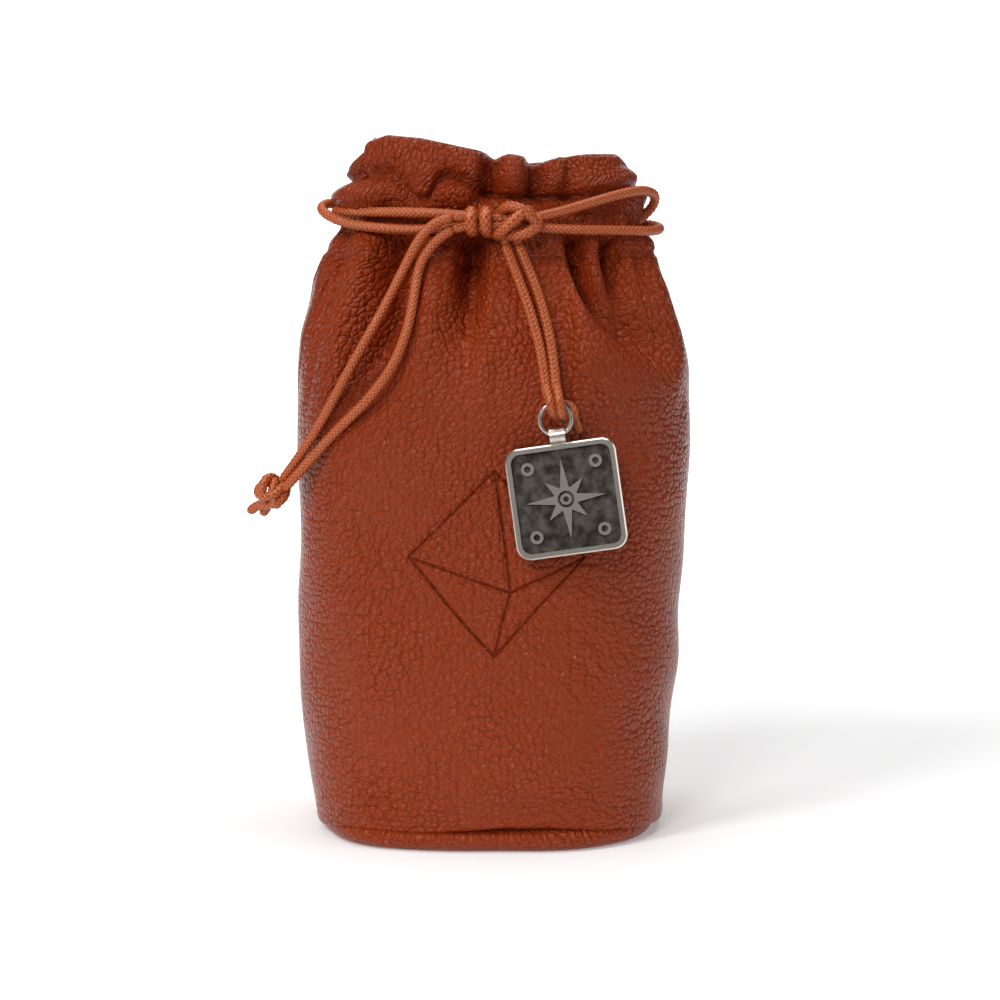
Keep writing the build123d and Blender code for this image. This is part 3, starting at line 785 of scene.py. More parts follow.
def makePanel(name, isFront):
    setup = bagSetup
    half = setup["panelWidth"] / 2 - setup["seamTurn"]
    columns = spacedValues((-half, half), (-22, 22) if isFront else None)
    heights = np.concatenate([
        spacedValues((setup["wallStart"], 44), None),
        spacedValues((44, 91), (44, 91) if isFront else None)[1:],
        spacedValues((91, 130), None)[1:],
        np.linspace(130, 158, 41)[1:],
    ])
    dense = np.linspace(0, 1, 520)
    rows = len(heights)
    z = np.repeat(heights[:, None], len(dense), axis=1)
    around = perimeter(heights)
    # the back panel is made facing the front too, and turned round at the end
    sideLeft = seamShift(heights, -1 if isFront else 1)
    sideRight = seamShift(heights, 1 if isFront else -1)
    qLeft = -around / 4 + sideLeft + setup["seamTurn"] * 0.75
    qRight = around / 4 + sideRight - setup["seamTurn"] * 0.75
    q = qLeft[:, None] + (qRight - qLeft)[:, None] * dense[None, :]
    x0 = ringPlaces(q, z, z, not isFront)[0][..., 0]
    top, crease, puff = hemLines(x0, q, isFront)

    if isFront:
        top = top - hemSetup["seamDrop"] * smoothStep((q - around[:, None] / 4 + 2) / 5)

    # the header's rows are spread between the hem and the top edge, the lowest ones follow the wavy edge
    topEnd = top - setup["foldRadius"]
    zPlaced = np.where(z > 150, 150 + (z - 150) / 8 * (topEnd - 150), z)
    edge = lowerEdge(q, isFront) + setup["turnUnder"]
    zPlaced = zPlaced + (edge - setup["wallStart"]) * (1 - smoothStep((z - setup["wallStart"]) / 12))
    places, outward = ringPlaces(q, z, zPlaced, not isFront)
    qRound = q if isFront else q + around[:, None] / 2
    stands = foldHeight(qRound, z) + unevenness(places if isFront else places * np.array((-1, -1, 1)))

    # stitched groove, puffed channel, crease and header
    hem = smoothStep((z - setup["hemEnd"]) / 4)
    # the channel bulges at the left where the cord goes in
    atLeft = smoothStep((-27 - q) / 5) if isFront else smoothStep((q - 34) / 5)
    bulge, *bulgeBand = hemSetup["bulge"]
    stands += bulge * atLeft * bandAt(zPlaced, *bulgeBand)
    for height, *band in (hemSetup["stitchGroove"], hemSetup["channelLip"]):
        stands += height * bandAt(zPlaced, *band)
    pinch, pinchZ, pinchReach = hemSetup["pinch"]
    pinch = pinch if isFront else hemSetup["backPinch"]
    stands -= pinch * bandAt(zPlaced, pinchZ, pinchReach) * (1 - 0.9 * atLeft)
    stands += puff * bandAt(zPlaced, (crease + pinchZ) / 2 + 0.6, hemSetup["puffReach"])
    creaseDepth, creaseReach = hemSetup["crease"]
    stands -= creaseDepth * bandAt(zPlaced, crease, creaseReach)
    header, headerReach = hemSetup["header"]
    aboveCrease = smoothStep((zPlaced - crease + 1) / 2)
    stands += header * bandAt(zPlaced, (crease + top) / 2, headerReach) * hem * aboveCrease
    # the cords in the channel fill it out, and the ones outside press it flat
    cordZ, cordReach = hemSetup["cordBand"]
    underCords = np.exp(-(((z - cordZ) / cordReach) ** 4))
    room = hemSetup["frontRoom" if isFront else "backRoom"] + 2.0 * atLeft
    stands += (np.clip(stands, hemSetup["deepest"], room) - stands) * underCords
    if isFront:
        acrossCharm = smoothStep((q + 3) / 4) * (1 - smoothStep((q - 16) / 4))
        underCharm = acrossCharm * smoothStep((z - 98) / 4) * (1 - smoothStep((z - 139) / 4))
        stands = stands - np.maximum(stands - hemSetup["charmRoom"], 0) * underCharm * 0.85

    bent = places + outward * stands[..., None]

    # spread the pattern evenly along each bent row
    runs = np.linalg.norm(np.diff(bent, axis=1), axis=-1)
    alongRow = np.concatenate([np.zeros((rows, 1)), np.cumsum(runs, axis=1)], axis=1)
    wanted = (columns + half) / (2 * half)
    shares = np.array([np.interp(wanted * row[-1], row, dense) for row in alongRow])
    print(name, "width of rows", [round(float(alongRow[k, -1]), 1) for k in range(0, rows, rows // 8)])

    def resample(values):
        if values.ndim == 2:
            return np.array([np.interp(shares[k], dense, values[k]) for k in range(rows)])
        return np.stack([resample(values[..., k]) for k in range(values.shape[-1])], axis=-1)

    body, outwardAt, zAt, creaseAt = resample(bent), resample(outward), resample(zPlaced), resample(crease)
    meetAtSeams(body, columns, isFront)

    # real outward directions of the bent sheet
    acrossStep = np.gradient(body, axis=1)
    upStep = np.gradient(body, axis=0)
    facing = np.cross(acrossStep, upStep)
    facing /= np.linalg.norm(facing, axis=-1, keepdims=True)

    patternV = heights - heights[0]
    if isFront:
        pressMark(body, facing, np.repeat(columns[None, :], rows, axis=0), zAt)

    lowRow = np.argmin(np.abs(heights - setup["stitchZ"]))
    highRows = np.argmin(np.abs(zAt - creaseAt), axis=0)
    columnsIndex = np.arange(len(columns))
    turnBack = np.array((1, 1, 1)) if isFront else np.array((-1, -1, 1))
    stitchLines[name] = [
        (body[lowRow] * turnBack, facing[lowRow] * turnBack),
        (body[highRows, columnsIndex] * turnBack, facing[highRows, columnsIndex] * turnBack),
    ]

    # under the edge: a round turn, then straight up inside
    radius = setup["turnUnder"]
    flat = levelOut(outwardAt[0])
    down = np.array((0, 0, 1.0))
    lower, lowerV = [], []
    for angle in (30, 62, 95, 130, 165):
        turn = math.radians(angle)
        offset = -flat * radius * (1 - math.cos(turn)) - down * radius * math.sin(turn)
        lower.append(body[0] + offset)
        lowerV.append(-radius * turn)
    for rise in (1.4, 3.2, 5.0):
        offset = -flat * 2 * radius + down * rise
        lower.append(body[0] + offset)
        lowerV.append(-radius * math.pi - rise)
    lower, lowerV = np.array(lower[::-1]), np.array(lowerV[::-1])

    # over the top: a round fold, then down inside as the channel's inner layer
    fold = setup["foldRadius"]
    flatTop = levelOut(outwardAt[-1])
    upper, upperV = [], []
    for angle in (22, 45, 68, 90, 112, 135, 158, 180):
        turn = math.radians(angle)
        upper.append(body[-1] - flatTop * fold * (1 - math.cos(turn)) + down * fold * math.sin(turn))
        upperV.append(patternV[-1] + fold * turn)
    insideEnd = upper[-1]
    zEnd = insideEnd[:, 2]
    steps = 14
    for k in range(1, steps + 1):
        share = k / steps
        zIn = zEnd + (setup["hemEnd"] - zEnd) * share
        row = np.argmin(np.abs(heights - (158 - 24.5 * share)))
        depth = 2 * fold + 1.0 * smoothStep(share * 3) - 3.4 * smoothStep(share * 4 - 3)
        inner = softened(body[row]) - levelOut(outwardAt[row]) * depth
        inner[:, 2] = zIn
        blend = smoothStep(share * 3)
        easing = insideEnd.copy()
        easing[:, 2] = zIn
        upper.append(easing * (1 - blend) + inner * blend)
        upperV.append(upperV[7] + (158 - setup["hemEnd"]) * share)
    grid = np.concatenate([lower, body, np.array(upper)])
    gridV = np.concatenate([lowerV, patternV, upperV])

    # the panel's edges turn in and meet the other panel's in the side seam
    grid, gridS = addSeamAllowances(grid, columns, setup)
    if isFront:
        for side, column, facingSide in (("leftSeam", 2, 1), ("rightSeam", -3, -1)):
            line = grid[10:, column]
            line = line[line[:, 2] < 131]
            stitchLines[side] = [(line, np.tile((facingSide * 1.0, 0, 0), (len(line), 1)))]
    uv = patternUv(gridS, gridV, isFront)
    if not isFront:
        grid = grid * np.array((-1, -1, 1))
    return finishSheet(name, grid * mm, uv)


seamEdges = {}


def meetAtSeams(body, columns, isFront):
    # the back panel's edges are drawn to the front's
    gap = 1.5 * bagSetup["seamTurn"]
    for side, inner in ((0, 3), (-1, -4)):
        if isFront:
            away = body[:, side] - body[:, inner]
            away /= np.linalg.norm(away, axis=1, keepdims=True)
            seamEdges[side] = (body[:, side] + away * gap) * np.array((-1, -1, 1))
            continue
        wanted = seamEdges[-1 - side]
        height = body[:, side, 2]
        target = [np.interp(height, wanted[:, 2], wanted[:, k]) for k in (0, 1)]
        pull = np.stack(target, axis=1) - body[:, side, :2]
        weight = 1 - smoothStep(np.abs(columns - columns[side]) / 9)
        body[:, :, :2] += pull[:, None, :] * weight[None, :, None]


def softened(line):
    # a line with its small bends evened out
    weights = np.array((1, 3, 5, 6, 5, 3, 1)) / 24
    padded = np.concatenate([line[:1]] * 3 + [line] + [line[-1:]] * 3)
    return sum(weight * padded[k:k + len(line)] for k, weight in enumerate(weights))


def addSeamAllowances(grid, columns, setup):
    extra = []
    for side in (0, -1):
        edge = grid[:, side]
        inner = grid[:, 1] if side == 0 else grid[:, -2]
        outwards = edge - inner
        outwards /= np.linalg.norm(outwards, axis=1, keepdims=True)
        inward = -edge * np.array((1, 1, 0))
        inward -= outwards * np.sum(inward * outwards, axis=1, keepdims=True)
        inward /= np.linalg.norm(inward, axis=1, keepdims=True)
        radius = setup["seamTurn"]
        shortest = 0.6
        belowHem = 1 - smoothStep((edge[:, 2] - 126) / 6)
        length = (shortest + (setup["seamAllowance"] - shortest) * belowHem)[:, None]
        length[:8] = 1.0
        turned = []
        for angle in (30, 60, 90):
            turn = math.radians(angle)
            turned.append(edge + outwards * radius * math.sin(turn) + inward * radius * (1 - math.cos(turn)))
        for share in (0.35, 0.7, 1.0):
            turned.append(edge + outwards * radius + inward * (radius + length * share))
        extra.append(turned)
    left = np.stack(extra[0][::-1], axis=1)
    right = np.stack(extra[1], axis=1)
    offsets = np.array([0.45, 0.9, 1.4, 2.8, 4.2, 5.4])
    s = np.concatenate([columns[0] - offsets[::-1], columns, columns[-1] + offsets])
    return np.concatenate([left, grid, right], axis=1), s


patternSpan = 240.0  # millimetres of pattern across the whole UV square


def patternUv(s, v, isFront):
    across, up = np.meshgrid((s + 70) / patternSpan, (v + 12) / patternSpan)
    if not isFront:
        across = across + 0.013
    return np.stack([across, up], axis=-1)


def finishSheet(name, grid, uv):
    rows, cols = grid.shape[:2]
    index = np.arange(rows * cols).reshape(rows, cols)
    faces = np.stack([index[:-1, :-1], index[:-1, 1:], index[1:, 1:], index[1:, :-1]], axis=-1).reshape(-1, 4)
    return giveThickness(meshPiece(name, grid.reshape(-1, 3), faces.tolist(), uv.reshape(-1, 2)))


def giveThickness(piece):
    thicken = piece.modifiers.new("leather", "SOLIDIFY")
    thicken.thickness = bagSetup["leather"] * mm
    thicken.offset = -1
    bpy.context.view_layer.objects.active = piece
    bpy.ops.object.modifier_apply(modifier="leather")
    return piece


# the pressed mark on the front: an eight-sided die, as lines between corners at x and height
markCorners = {
    "top": (0.0, 87.4),
    "bottom": (1.4, 45.0),
    "left": (-18.2, 67.6),
    "right": (20.0, 67.6),
    "middle": (4.4, 59.6),
}
markLines = [
    ("top", "left"), ("top", "right"), ("bottom", "left"), ("bottom", "right"),
    ("middle", "left"), ("middle", "right"), ("middle", "top"), ("middle", "bottom"),
]
markSetup = {"width": 0.45, "depth": 0.42}


def pressMark(body, facing, s, z):
    nearest = np.full(s.shape, 1e9)
    for first, second in markLines:
        (x1, z1), (x2, z2) = markCorners[first], markCorners[second]
        runX, runZ = x2 - x1, z2 - z1
        share = np.clip(((s - x1) * runX + (z - z1) * runZ) / (runX**2 + runZ**2), 0, 1)
        nearest = np.minimum(nearest, np.hypot(s - x1 - share * runX, z - z1 - share * runZ))
    body -= facing * (markSetup["depth"] * np.exp(-((nearest / markSetup["width"]) ** 2)))[..., None]


frontPanel = makePanel("frontPanel", True)
backPanel = makePanel("backPanel", False)
print("panels cut and gathered")


def makeBase():
    # a flat disc whose rim rolls up under the wall and in to the seam
    outline = []
    for radius in np.linspace(0.5, 35.5, 24):
        outline.append((radius, 0.0))
    for angle in (15, 35, 55, 75, 95, 115, 135):
        turn = math.radians(angle)
        outline.append((37.0 + 3.2 * math.sin(turn), 2.6 - 2.6 * math.cos(turn)))
    outline += [(37.9, 5.0), (37.2, 7.0), (37.1, 8.6)]
    around = 240
    angles = np.arange(around) * 2 * math.pi / around
    rings = []
    power = 2.9
    squarer = (np.abs(np.cos(angles)) ** power + np.abs(np.sin(angles)) ** power) ** (-1 / power)
    for k, (radius, z) in enumerate(outline):
        rim = smoothStep((radius - 20) / 16)
        sway = 0.25 * np.sin(5 * angles + 0.7) + 0.15 * np.sin(11 * angles + 2)
        reach = (radius + sway * rim * (z > 0)) * (1 + (squarer - 1) * rim)
        rings.append(np.stack([
            reach * np.cos(angles) - 1.5 * rim, reach * np.sin(angles), z + 0 * angles,
        ], axis=-1))
    vertices = [tuple(v * mm) for ring in rings for v in ring]
    vertices.append((0, 0, 0))
    faces = []
    count = len(outline)
    for j in range(around):
        k = (j + 1) % around
        faces.append((count * around, k, j))
        for i in range(count - 1):
            faces.append((i * around + j, i * around + k, (i + 1) * around + k, (i + 1) * around + j))
    uvs = [(0.5 + v[0] * 1000 / patternSpan, 0.5 + v[1] * 1000 / patternSpan) for v in vertices]
    for i, (radius, z) in enumerate(outline):
        reach = radius + max(0, z) * 0.9
        for j in range(around):
            across, up = reach * math.cos(angles[j]), reach * math.sin(angles[j])
            uvs[i * around + j] = (0.5 + across / patternSpan, 0.5 + up / patternSpan)
    return giveThickness(meshPiece("basePanel", vertices, faces, uvs))


basePanel = makeBase()
for piece, node in ((frontPanel, "front_panel"), (backPanel, "back_panel"), (basePanel, "base_panel")):
    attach(piece, "bag")
    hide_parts(node)
print("base sewn in")

# stitches: short thread segments that dip into the leather at both ends

threadSetup = {"pitch": 3.1, "length": 2.4, "width": 0.45, "sink": 0.02, "sides": 8}


def makeStitches(name, runs, body, replaces):
    setup = threadSetup
    vertices, faces = [], []
    turns = np.arange(setup["sides"]) * 2 * math.pi / setup["sides"]
    for line, facing in runs:
        steps = np.concatenate([[0], np.cumsum(np.linalg.norm(np.diff(line, axis=0), axis=1))])
        places = np.arange(1.5, steps[-1] - 1.5 - setup["length"], setup["pitch"])
        for start in places:
            shares = np.linspace(0, 1, 9)
            reach = start + shares * setup["length"]
            spine = np.stack([np.interp(reach, steps, line[:, k]) for k in range(3)], axis=1)
            out = np.stack([np.interp(reach, steps, facing[:, k]) for k in range(3)], axis=1)
            out /= np.linalg.norm(out, axis=1)[:, None]
            arch = setup["sink"] * (1 - 4.2 * (shares - 0.5) ** 2 * 1.4)
            spine = spine + out * arch[:, None]
            ahead = np.gradient(spine, axis=0)
            ahead /= np.linalg.norm(ahead, axis=1)[:, None]
            side = np.cross(ahead, out)
            side /= np.linalg.norm(side, axis=1)[:, None]
            up = np.cross(side, ahead)
            thick = setup["width"] / 2 * np.sqrt(1 - (2 * np.clip(shares, 0.02, 0.98) - 1) ** 6)
            first = len(vertices)
            for k in range(len(shares)):
                for turn in turns:
                    reachOut = side[k] * math.cos(turn) + up[k] * math.sin(turn)
                    vertices.append((spine[k] + reachOut * thick[k]) * mm)
            count = setup["sides"]
            for k in range(len(shares) - 1):
                ring, nextRing = first + k * count, first + (k + 1) * count
                for j in range(count):
                    n = (j + 1) % count
                    faces.append((ring + j, ring + n, nextRing + n, nextRing + j))
            faces.append(tuple(first + j for j in range(count - 1, -1, -1)))
            faces.append(tuple(first + (len(shares) - 1) * count + j for j in range(count)))
    piece = meshPiece(name, vertices, faces)
    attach(piece, body)
    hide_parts(replaces)
    return piece


def baseSeamRun():
    angles = np.linspace(0, 2 * math.pi, 241)
    line = np.stack([35.9 * np.cos(angles), 35.5 * np.sin(angles), 6.4 + 0 * angles], axis=1)
    return [(line, -line * np.array((1, 1, 0)) / 35.9 + np.array((0, 0, 1e-3)))]


stitchPieces = [
    makeStitches("frontChannelStitches", stitchLines["frontPanel"], "bag", "front_channel_thread"),
    makeStitches("backChannelStitches", stitchLines["backPanel"], "bag", "back_channel_thread"),
    makeStitches("leftSeamStitches", stitchLines["leftSeam"], "bag", "left_seam_thread"),
    makeStitches("rightSeamStitches", stitchLines["rightSeam"], "bag", "right_seam_thread"),
    makeStitches("baseSeamStitches", baseSeamRun(), "bag", "base_seam_thread"),
]
print("stitches sewn")

# materials


def newMaterial(name):
    material = bpy.data.materials.new(name)
    material.use_nodes = True
    tree = material.node_tree
    return material, tree.nodes, tree.links, tree.nodes["Principled BSDF"]


def simpleMaterial(name, colour, roughness):
    material, nodes, links, shader = newMaterial(name)
    shader.inputs["Base Color"].default_value = (*colour, 1)
    shader.inputs["Roughness"].default_value = roughness
    return material


def finishWith(piece, material):
    piece.data.materials.clear()
    piece.data.materials.append(material)


def addNode(nodes, kind, **settings):
    node = nodes.new(kind)
    for key, value in settings.items():
        setattr(node, key, value)
    return node


def calculate(nodes, links, operation, first, second=None, third=None, clamp=False):
    node = addNode(nodes, "ShaderNodeMath", operation=operation, use_clamp=clamp)
    for k, value in enumerate((first, second, third)):
        if value is None:
            continue
        if isinstance(value, (int, float)):
            node.inputs[k].default_value = value
        else:
            links.new(value, node.inputs[k])
    return node.outputs[0]


def mixColours(nodes, links, factor, first, second):
    node = addNode(nodes, "ShaderNodeMix", data_type="RGBA")
    for key, value in (("Factor", factor), ("A", first), ("B", second)):
        socket = node.inputs[key]
        if isinstance(value, tuple):
            socket.default_value = (*value, 1)
        elif isinstance(value, (int, float)):
            socket.default_value = value
        else:
            links.new(value, socket)
    return node.outputs["Result"]


def remap(nodes, links, value, low, high, toLow=0.0, toHigh=1.0):
    node = addNode(nodes, "ShaderNodeMapRange", interpolation_type="SMOOTHSTEP")
    links.new(value, node.inputs["Value"])
    for key, number in (("From Min", low), ("From Max", high), ("To Min", toLow), ("To Max", toHigh)):
        node.inputs[key].default_value = number
    return node.outputs["Result"]


def newGroup(name, inputs, outputs):
    tree = bpy.data.node_groups.new(name, "ShaderNodeTree")
    for socket, kind, value in inputs:
        item = tree.interface.new_socket(name=socket, in_out="INPUT", socket_type=kind)
        if value is not None:
            item.default_value = value
    for socket, kind in outputs:
        tree.interface.new_socket(name=socket, in_out="OUTPUT", socket_type=kind)
    return tree, tree.nodes, tree.links, tree.nodes.new("NodeGroupInput"), tree.nodes.new("NodeGroupOutput")


def makePebbleGroup():
    # pebbled grain in millimetres of pattern: rounded cells with fine creases between them
    tree, nodes, links, start, end = newGroup(
        "pebbledGrain",
        [("Place", "NodeSocketVector", None), ("Cell", "NodeSocketFloat", 1.5)],
        [("Height", "NodeSocketFloat"), ("Groove", "NodeSocketFloat"), ("Patch", "NodeSocketFloat")],
    )
    sway = addNode(nodes, "ShaderNodeTexNoise")
    sway.inputs["Scale"].default_value = 0.42
    sway.inputs["Detail"].default_value = 2
    links.new(start.outputs["Place"], sway.inputs["Vector"])
    centred = addNode(nodes, "ShaderNodeVectorMath", operation="SUBTRACT")
    links.new(sway.outputs["Color"], centred.inputs[0])
    centred.inputs[1].default_value = (0.5, 0.5, 0.5)
    moved = addNode(nodes, "ShaderNodeVectorMath", operation="MULTIPLY_ADD")
    links.new(centred.outputs[0], moved.inputs[0])
    moved.inputs[1].default_value = (2.0, 2.0, 0)
    links.new(start.outputs["Place"], moved.inputs[2])
    scale = calculate(nodes, links, "DIVIDE", 1.0, start.outputs["Cell"])
    layers, domes = [], []
    for factor, edge in ((1.0, 0.34), (2.15, 0.4)):
        size = calculate(nodes, links, "MULTIPLY", scale, factor)
        cells = addNode(nodes, "ShaderNodeTexVoronoi", feature="DISTANCE_TO_EDGE", voronoi_dimensions="2D")
        middles = addNode(nodes, "ShaderNodeTexVoronoi", feature="F1", voronoi_dimensions="2D")
        for node in (cells, middles):
            links.new(moved.outputs[0], node.inputs["Vector"])
            links.new(size, node.inputs["Scale"])
            node.inputs["Randomness"].default_value = 0.8
        layers.append(remap(nodes, links, cells.outputs["Distance"], 0.0, edge))
        square = calculate(nodes, links, "MULTIPLY", middles.outputs["Distance"], middles.outputs["Distance"])
        domes.append(calculate(nodes, links, "MULTIPLY_ADD", square, -1.4, 1.0))
    patch = addNode(nodes, "ShaderNodeTexNoise")
    patch.inputs["Scale"].default_value = 0.055
    patch.inputs["Detail"].default_value = 3
    links.new(start.outputs["Place"], patch.inputs["Vector"])
    patchiness = remap(nodes, links, patch.outputs["Fac"], 0.36, 0.64, 0.5, 1.0)
    fine = addNode(nodes, "ShaderNodeTexNoise")
    fine.inputs["Scale"].default_value = 2.6
    fine.inputs["Detail"].default_value = 4
    fine.inputs["Roughness"].default_value = 0.65
    links.new(moved.outputs[0], fine.inputs["Vector"])
    edges = calculate(nodes, links, "MULTIPLY", layers[0], 0.42)
    pebbles = calculate(nodes, links, "MULTIPLY_ADD", domes[0], 1.5, edges)
    pebbles = calculate(nodes, links, "MULTIPLY", pebbles, patchiness)
    height = calculate(nodes, links, "MULTIPLY_ADD", layers[1], 0.16, pebbles)
    height = calculate(nodes, links, "MULTIPLY_ADD", fine.outputs["Fac"], 0.45, height)
    links.new(height, end.inputs["Height"])
    groove = remap(nodes, links, layers[0], 0.0, 0.3, 1.0, 0.0)
    links.new(calculate(nodes, links, "MULTIPLY", groove, patchiness), end.inputs["Groove"])
    links.new(patchiness, end.inputs["Patch"])
    return tree


def makeMarkGroup():
    # how near a place is to the pressed mark's lines, 1 on a line
    tree, nodes, links, start, end = newGroup(
        "pressedMark", [("Place", "NodeSocketVector", None)], [("Line", "NodeSocketFloat")]
    )
    nearest = None
    for first, second in markLines:
        a, b = np.array(markCorners[first]), np.array(markCorners[second])
        run = b - a
        offset = addNode(nodes, "ShaderNodeVectorMath", operation="SUBTRACT")
        links.new(start.outputs["Place"], offset.inputs[0])
        offset.inputs[1].default_value = (a[0], a[1], 0)
        dot = addNode(nodes, "ShaderNodeVectorMath", operation="DOT_PRODUCT")
        links.new(offset.outputs[0], dot.inputs[0])
        dot.inputs[1].default_value = (run[0] / (run @ run), run[1] / (run @ run), 0)
        share = calculate(nodes, links, "ADD", dot.outputs["Value"], 0.0, clamp=True)
        along = addNode(nodes, "ShaderNodeVectorMath", operation="SCALE")
        along.inputs[0].default_value = (run[0], run[1], 0)
        links.new(share, along.inputs["Scale"])
        apart = addNode(nodes, "ShaderNodeVectorMath", operation="DISTANCE")
        links.new(offset.outputs[0], apart.inputs[0])
        links.new(along.outputs[0], apart.inputs[1])
        distance = apart.outputs["Value"]
        nearest = distance if nearest is None else calculate(nodes, links, "MINIMUM", nearest, distance)
    links.new(remap(nodes, links, nearest, 0.08, 0.34, 1.0, 0.0), end.inputs["Line"])
    return tree


pebbleGroup = makePebbleGroup()
markGroup = makeMarkGroup()


def patternPlace(nodes, links):
    # the sheet's own flat pattern in millimetres
    pattern = addNode(nodes, "ShaderNodeUVMap", uv_map="UVMap")
    place = addNode(nodes, "ShaderNodeVectorMath", operation="MULTIPLY_ADD")
    links.new(pattern.outputs["UV"], place.inputs[0])
    place.inputs[1].default_value = (patternSpan, patternSpan, 0)
    place.inputs[2].default_value = (-70, bagSetup["wallStart"] - 12, 0)
    return place.outputs[0]


leatherLook = {
    "top": (0.315, 0.036, 0.005),
    "patch": (0.25, 0.027, 0.004),
    "groove": (0.11, 0.009, 0.002),
    "grooveTint": 0.3,
    "markDarkening": 0.7,
    "markDepth": 0.42,  # in millimetres, as the bump
    "bump": 0.42,
    "roughness": (0.18, 0.42),  # on a pebble and in a groove
    "specular": 0.42,
    "tint": (1.0, 0.62, 0.46),
}


def makeLeather(name, withMark, look=leatherLook):
    material, nodes, links, shader = newMaterial(name)
    place = patternPlace(nodes, links)
    grain = addNode(nodes, "ShaderNodeGroup", node_tree=pebbleGroup)
    links.new(place, grain.inputs["Place"])
    colour = mixColours(nodes, links, grain.outputs["Patch"], look["patch"], look["top"])
    grooves = calculate(nodes, links, "MULTIPLY", grain.outputs["Groove"], look["grooveTint"])
    colour = mixColours(nodes, links, grooves, colour, look["groove"])
    height = grain.outputs["Height"]
    if withMark:
        mark = addNode(nodes, "ShaderNodeGroup", node_tree=markGroup)
        links.new(place, mark.inputs["Place"])
        line = mark.outputs["Line"]
        # the pressed mark's lines are drawn darker in colour
        darker = calculate(nodes, links, "MULTIPLY", line, look["markDarkening"])
        colour = mixColours(nodes, links, darker, colour, look["groove"])
        height = calculate(nodes, links, "MULTIPLY_ADD", line, -look["markDepth"] / look["bump"], height)
    bump = addNode(nodes, "ShaderNodeBump")
    bump.inputs["Strength"].default_value = 1.0
    bump.inputs["Distance"].default_value = look["bump"] * mm
    links.new(height, bump.inputs["Height"])
    links.new(bump.outputs["Normal"], shader.inputs["Normal"])
    links.new(colour, shader.inputs["Base Color"])
    roughness = remap(nodes, links, grain.outputs["Groove"], 0.0, 1.0, *look["roughness"])
    links.new(roughness, shader.inputs["Roughness"])
    shader.inputs["Specular IOR Level"].default_value = look["specular"]
    shader.inputs["Specular Tint"].default_value = (*look["tint"], 1)
    return material


def makeBraidGroup():
    # 1 on a braid's bumps and 0 between them, by length along the cord and turn round it
    tree, nodes, links, start, end = newGroup(
        "braidWeave",
        [("Along", "NodeSocketFloat", 0.0), ("Turn", "NodeSocketFloat", 0.0)],
        [("Raised", "NodeSocketFloat")],
    )
    waves = []
    for socket, cycles in (("Along", 1 / (cordSetup["pitch"] * mm)), ("Turn", cordSetup["lobes"])):
        phase = calculate(nodes, links, "MULTIPLY", start.outputs[socket], 2 * math.pi * cycles)
        waves.append(calculate(nodes, links, "COSINE", phase))
    wave = calculate(nodes, links, "MULTIPLY", *waves)
    links.new(remap(nodes, links, wave, -0.9, 0.7), end.inputs["Raised"])
    return tree


braidGroup = makeBraidGroup()
cordLook = {
    "raised": (0.68, 0.142, 0.033),
    # between the braid's bumps the colour is darker: painted shade in the gaps
    "sunkShade": (0.29, 0.042, 0.009),
    "roughness": 0.3,
    "specular": 0.85,
    "tint": (1.0, 0.78, 0.6),
}


def makeSatinCord(name, look=cordLook):
    material, nodes, links, shader = newMaterial(name)
    pattern = addNode(nodes, "ShaderNodeUVMap", uv_map="UVMap")
    parts = addNode(nodes, "ShaderNodeSeparateXYZ")
    links.new(pattern.outputs["UV"], parts.inputs[0])
    weave = addNode(nodes, "ShaderNodeGroup", node_tree=braidGroup)
    links.new(parts.outputs["X"], weave.inputs["Along"])
    links.new(parts.outputs["Y"], weave.inputs["Turn"])
    # the gaps between the braid's bumps take the darker colour, painted shade
    colour = mixColours(nodes, links, weave.outputs["Raised"], look["sunkShade"], look["raised"])
    shader.inputs["Roughness"].default_value = look["roughness"]
    shader.inputs["Specular IOR Level"].default_value = look["specular"]
    shader.inputs["Specular Tint"].default_value = (*look["tint"], 1)
    streaks = addNode(nodes, "ShaderNodeTexNoise")
    stretched = addNode(nodes, "ShaderNodeCombineXYZ")
    twist = calculate(nodes, links, "MULTIPLY_ADD", parts.outputs["X"], 900, parts.outputs["Y"])
    links.new(calculate(nodes, links, "MULTIPLY", parts.outputs["X"], 1400), stretched.inputs["X"])
    links.new(calculate(nodes, links, "MULTIPLY", twist, 16), stretched.inputs["Y"])
    links.new(stretched.outputs[0], streaks.inputs["Vector"])
    streaks.inputs["Scale"].default_value = 1.0
    streaks.inputs["Detail"].default_value = 2
    darker = remap(nodes, links, streaks.outputs["Fac"], 0.35, 0.65, 0.0, 0.45)
    colour = mixColours(nodes, links, darker, colour, look["sunkShade"])
    links.new(colour, shader.inputs["Base Color"])
    bump = addNode(nodes, "ShaderNodeBump")
    bump.inputs["Distance"].default_value = 0.05 * mm
    height = calculate(nodes, links, "ADD", weave.outputs["Raised"], streaks.outputs["Fac"])
    links.new(height, bump.inputs["Height"])
    links.new(bump.outputs["Normal"], shader.inputs["Normal"])
    return material


metalLook = {
    "raised": (0.74, 0.68, 0.61),
    "recess": (0.038, 0.030, 0.025),
    "roughness": (0.5, 0.26),  # in the recess and where it is rubbed
    "centre": (16.3, -37.4, 81.6),
    "outward": (-0.104, -0.990, 0.087),
    "floor": 0.4,  # heights over the centre where the dark ends and the bright begins
    "face": 0.8,
}


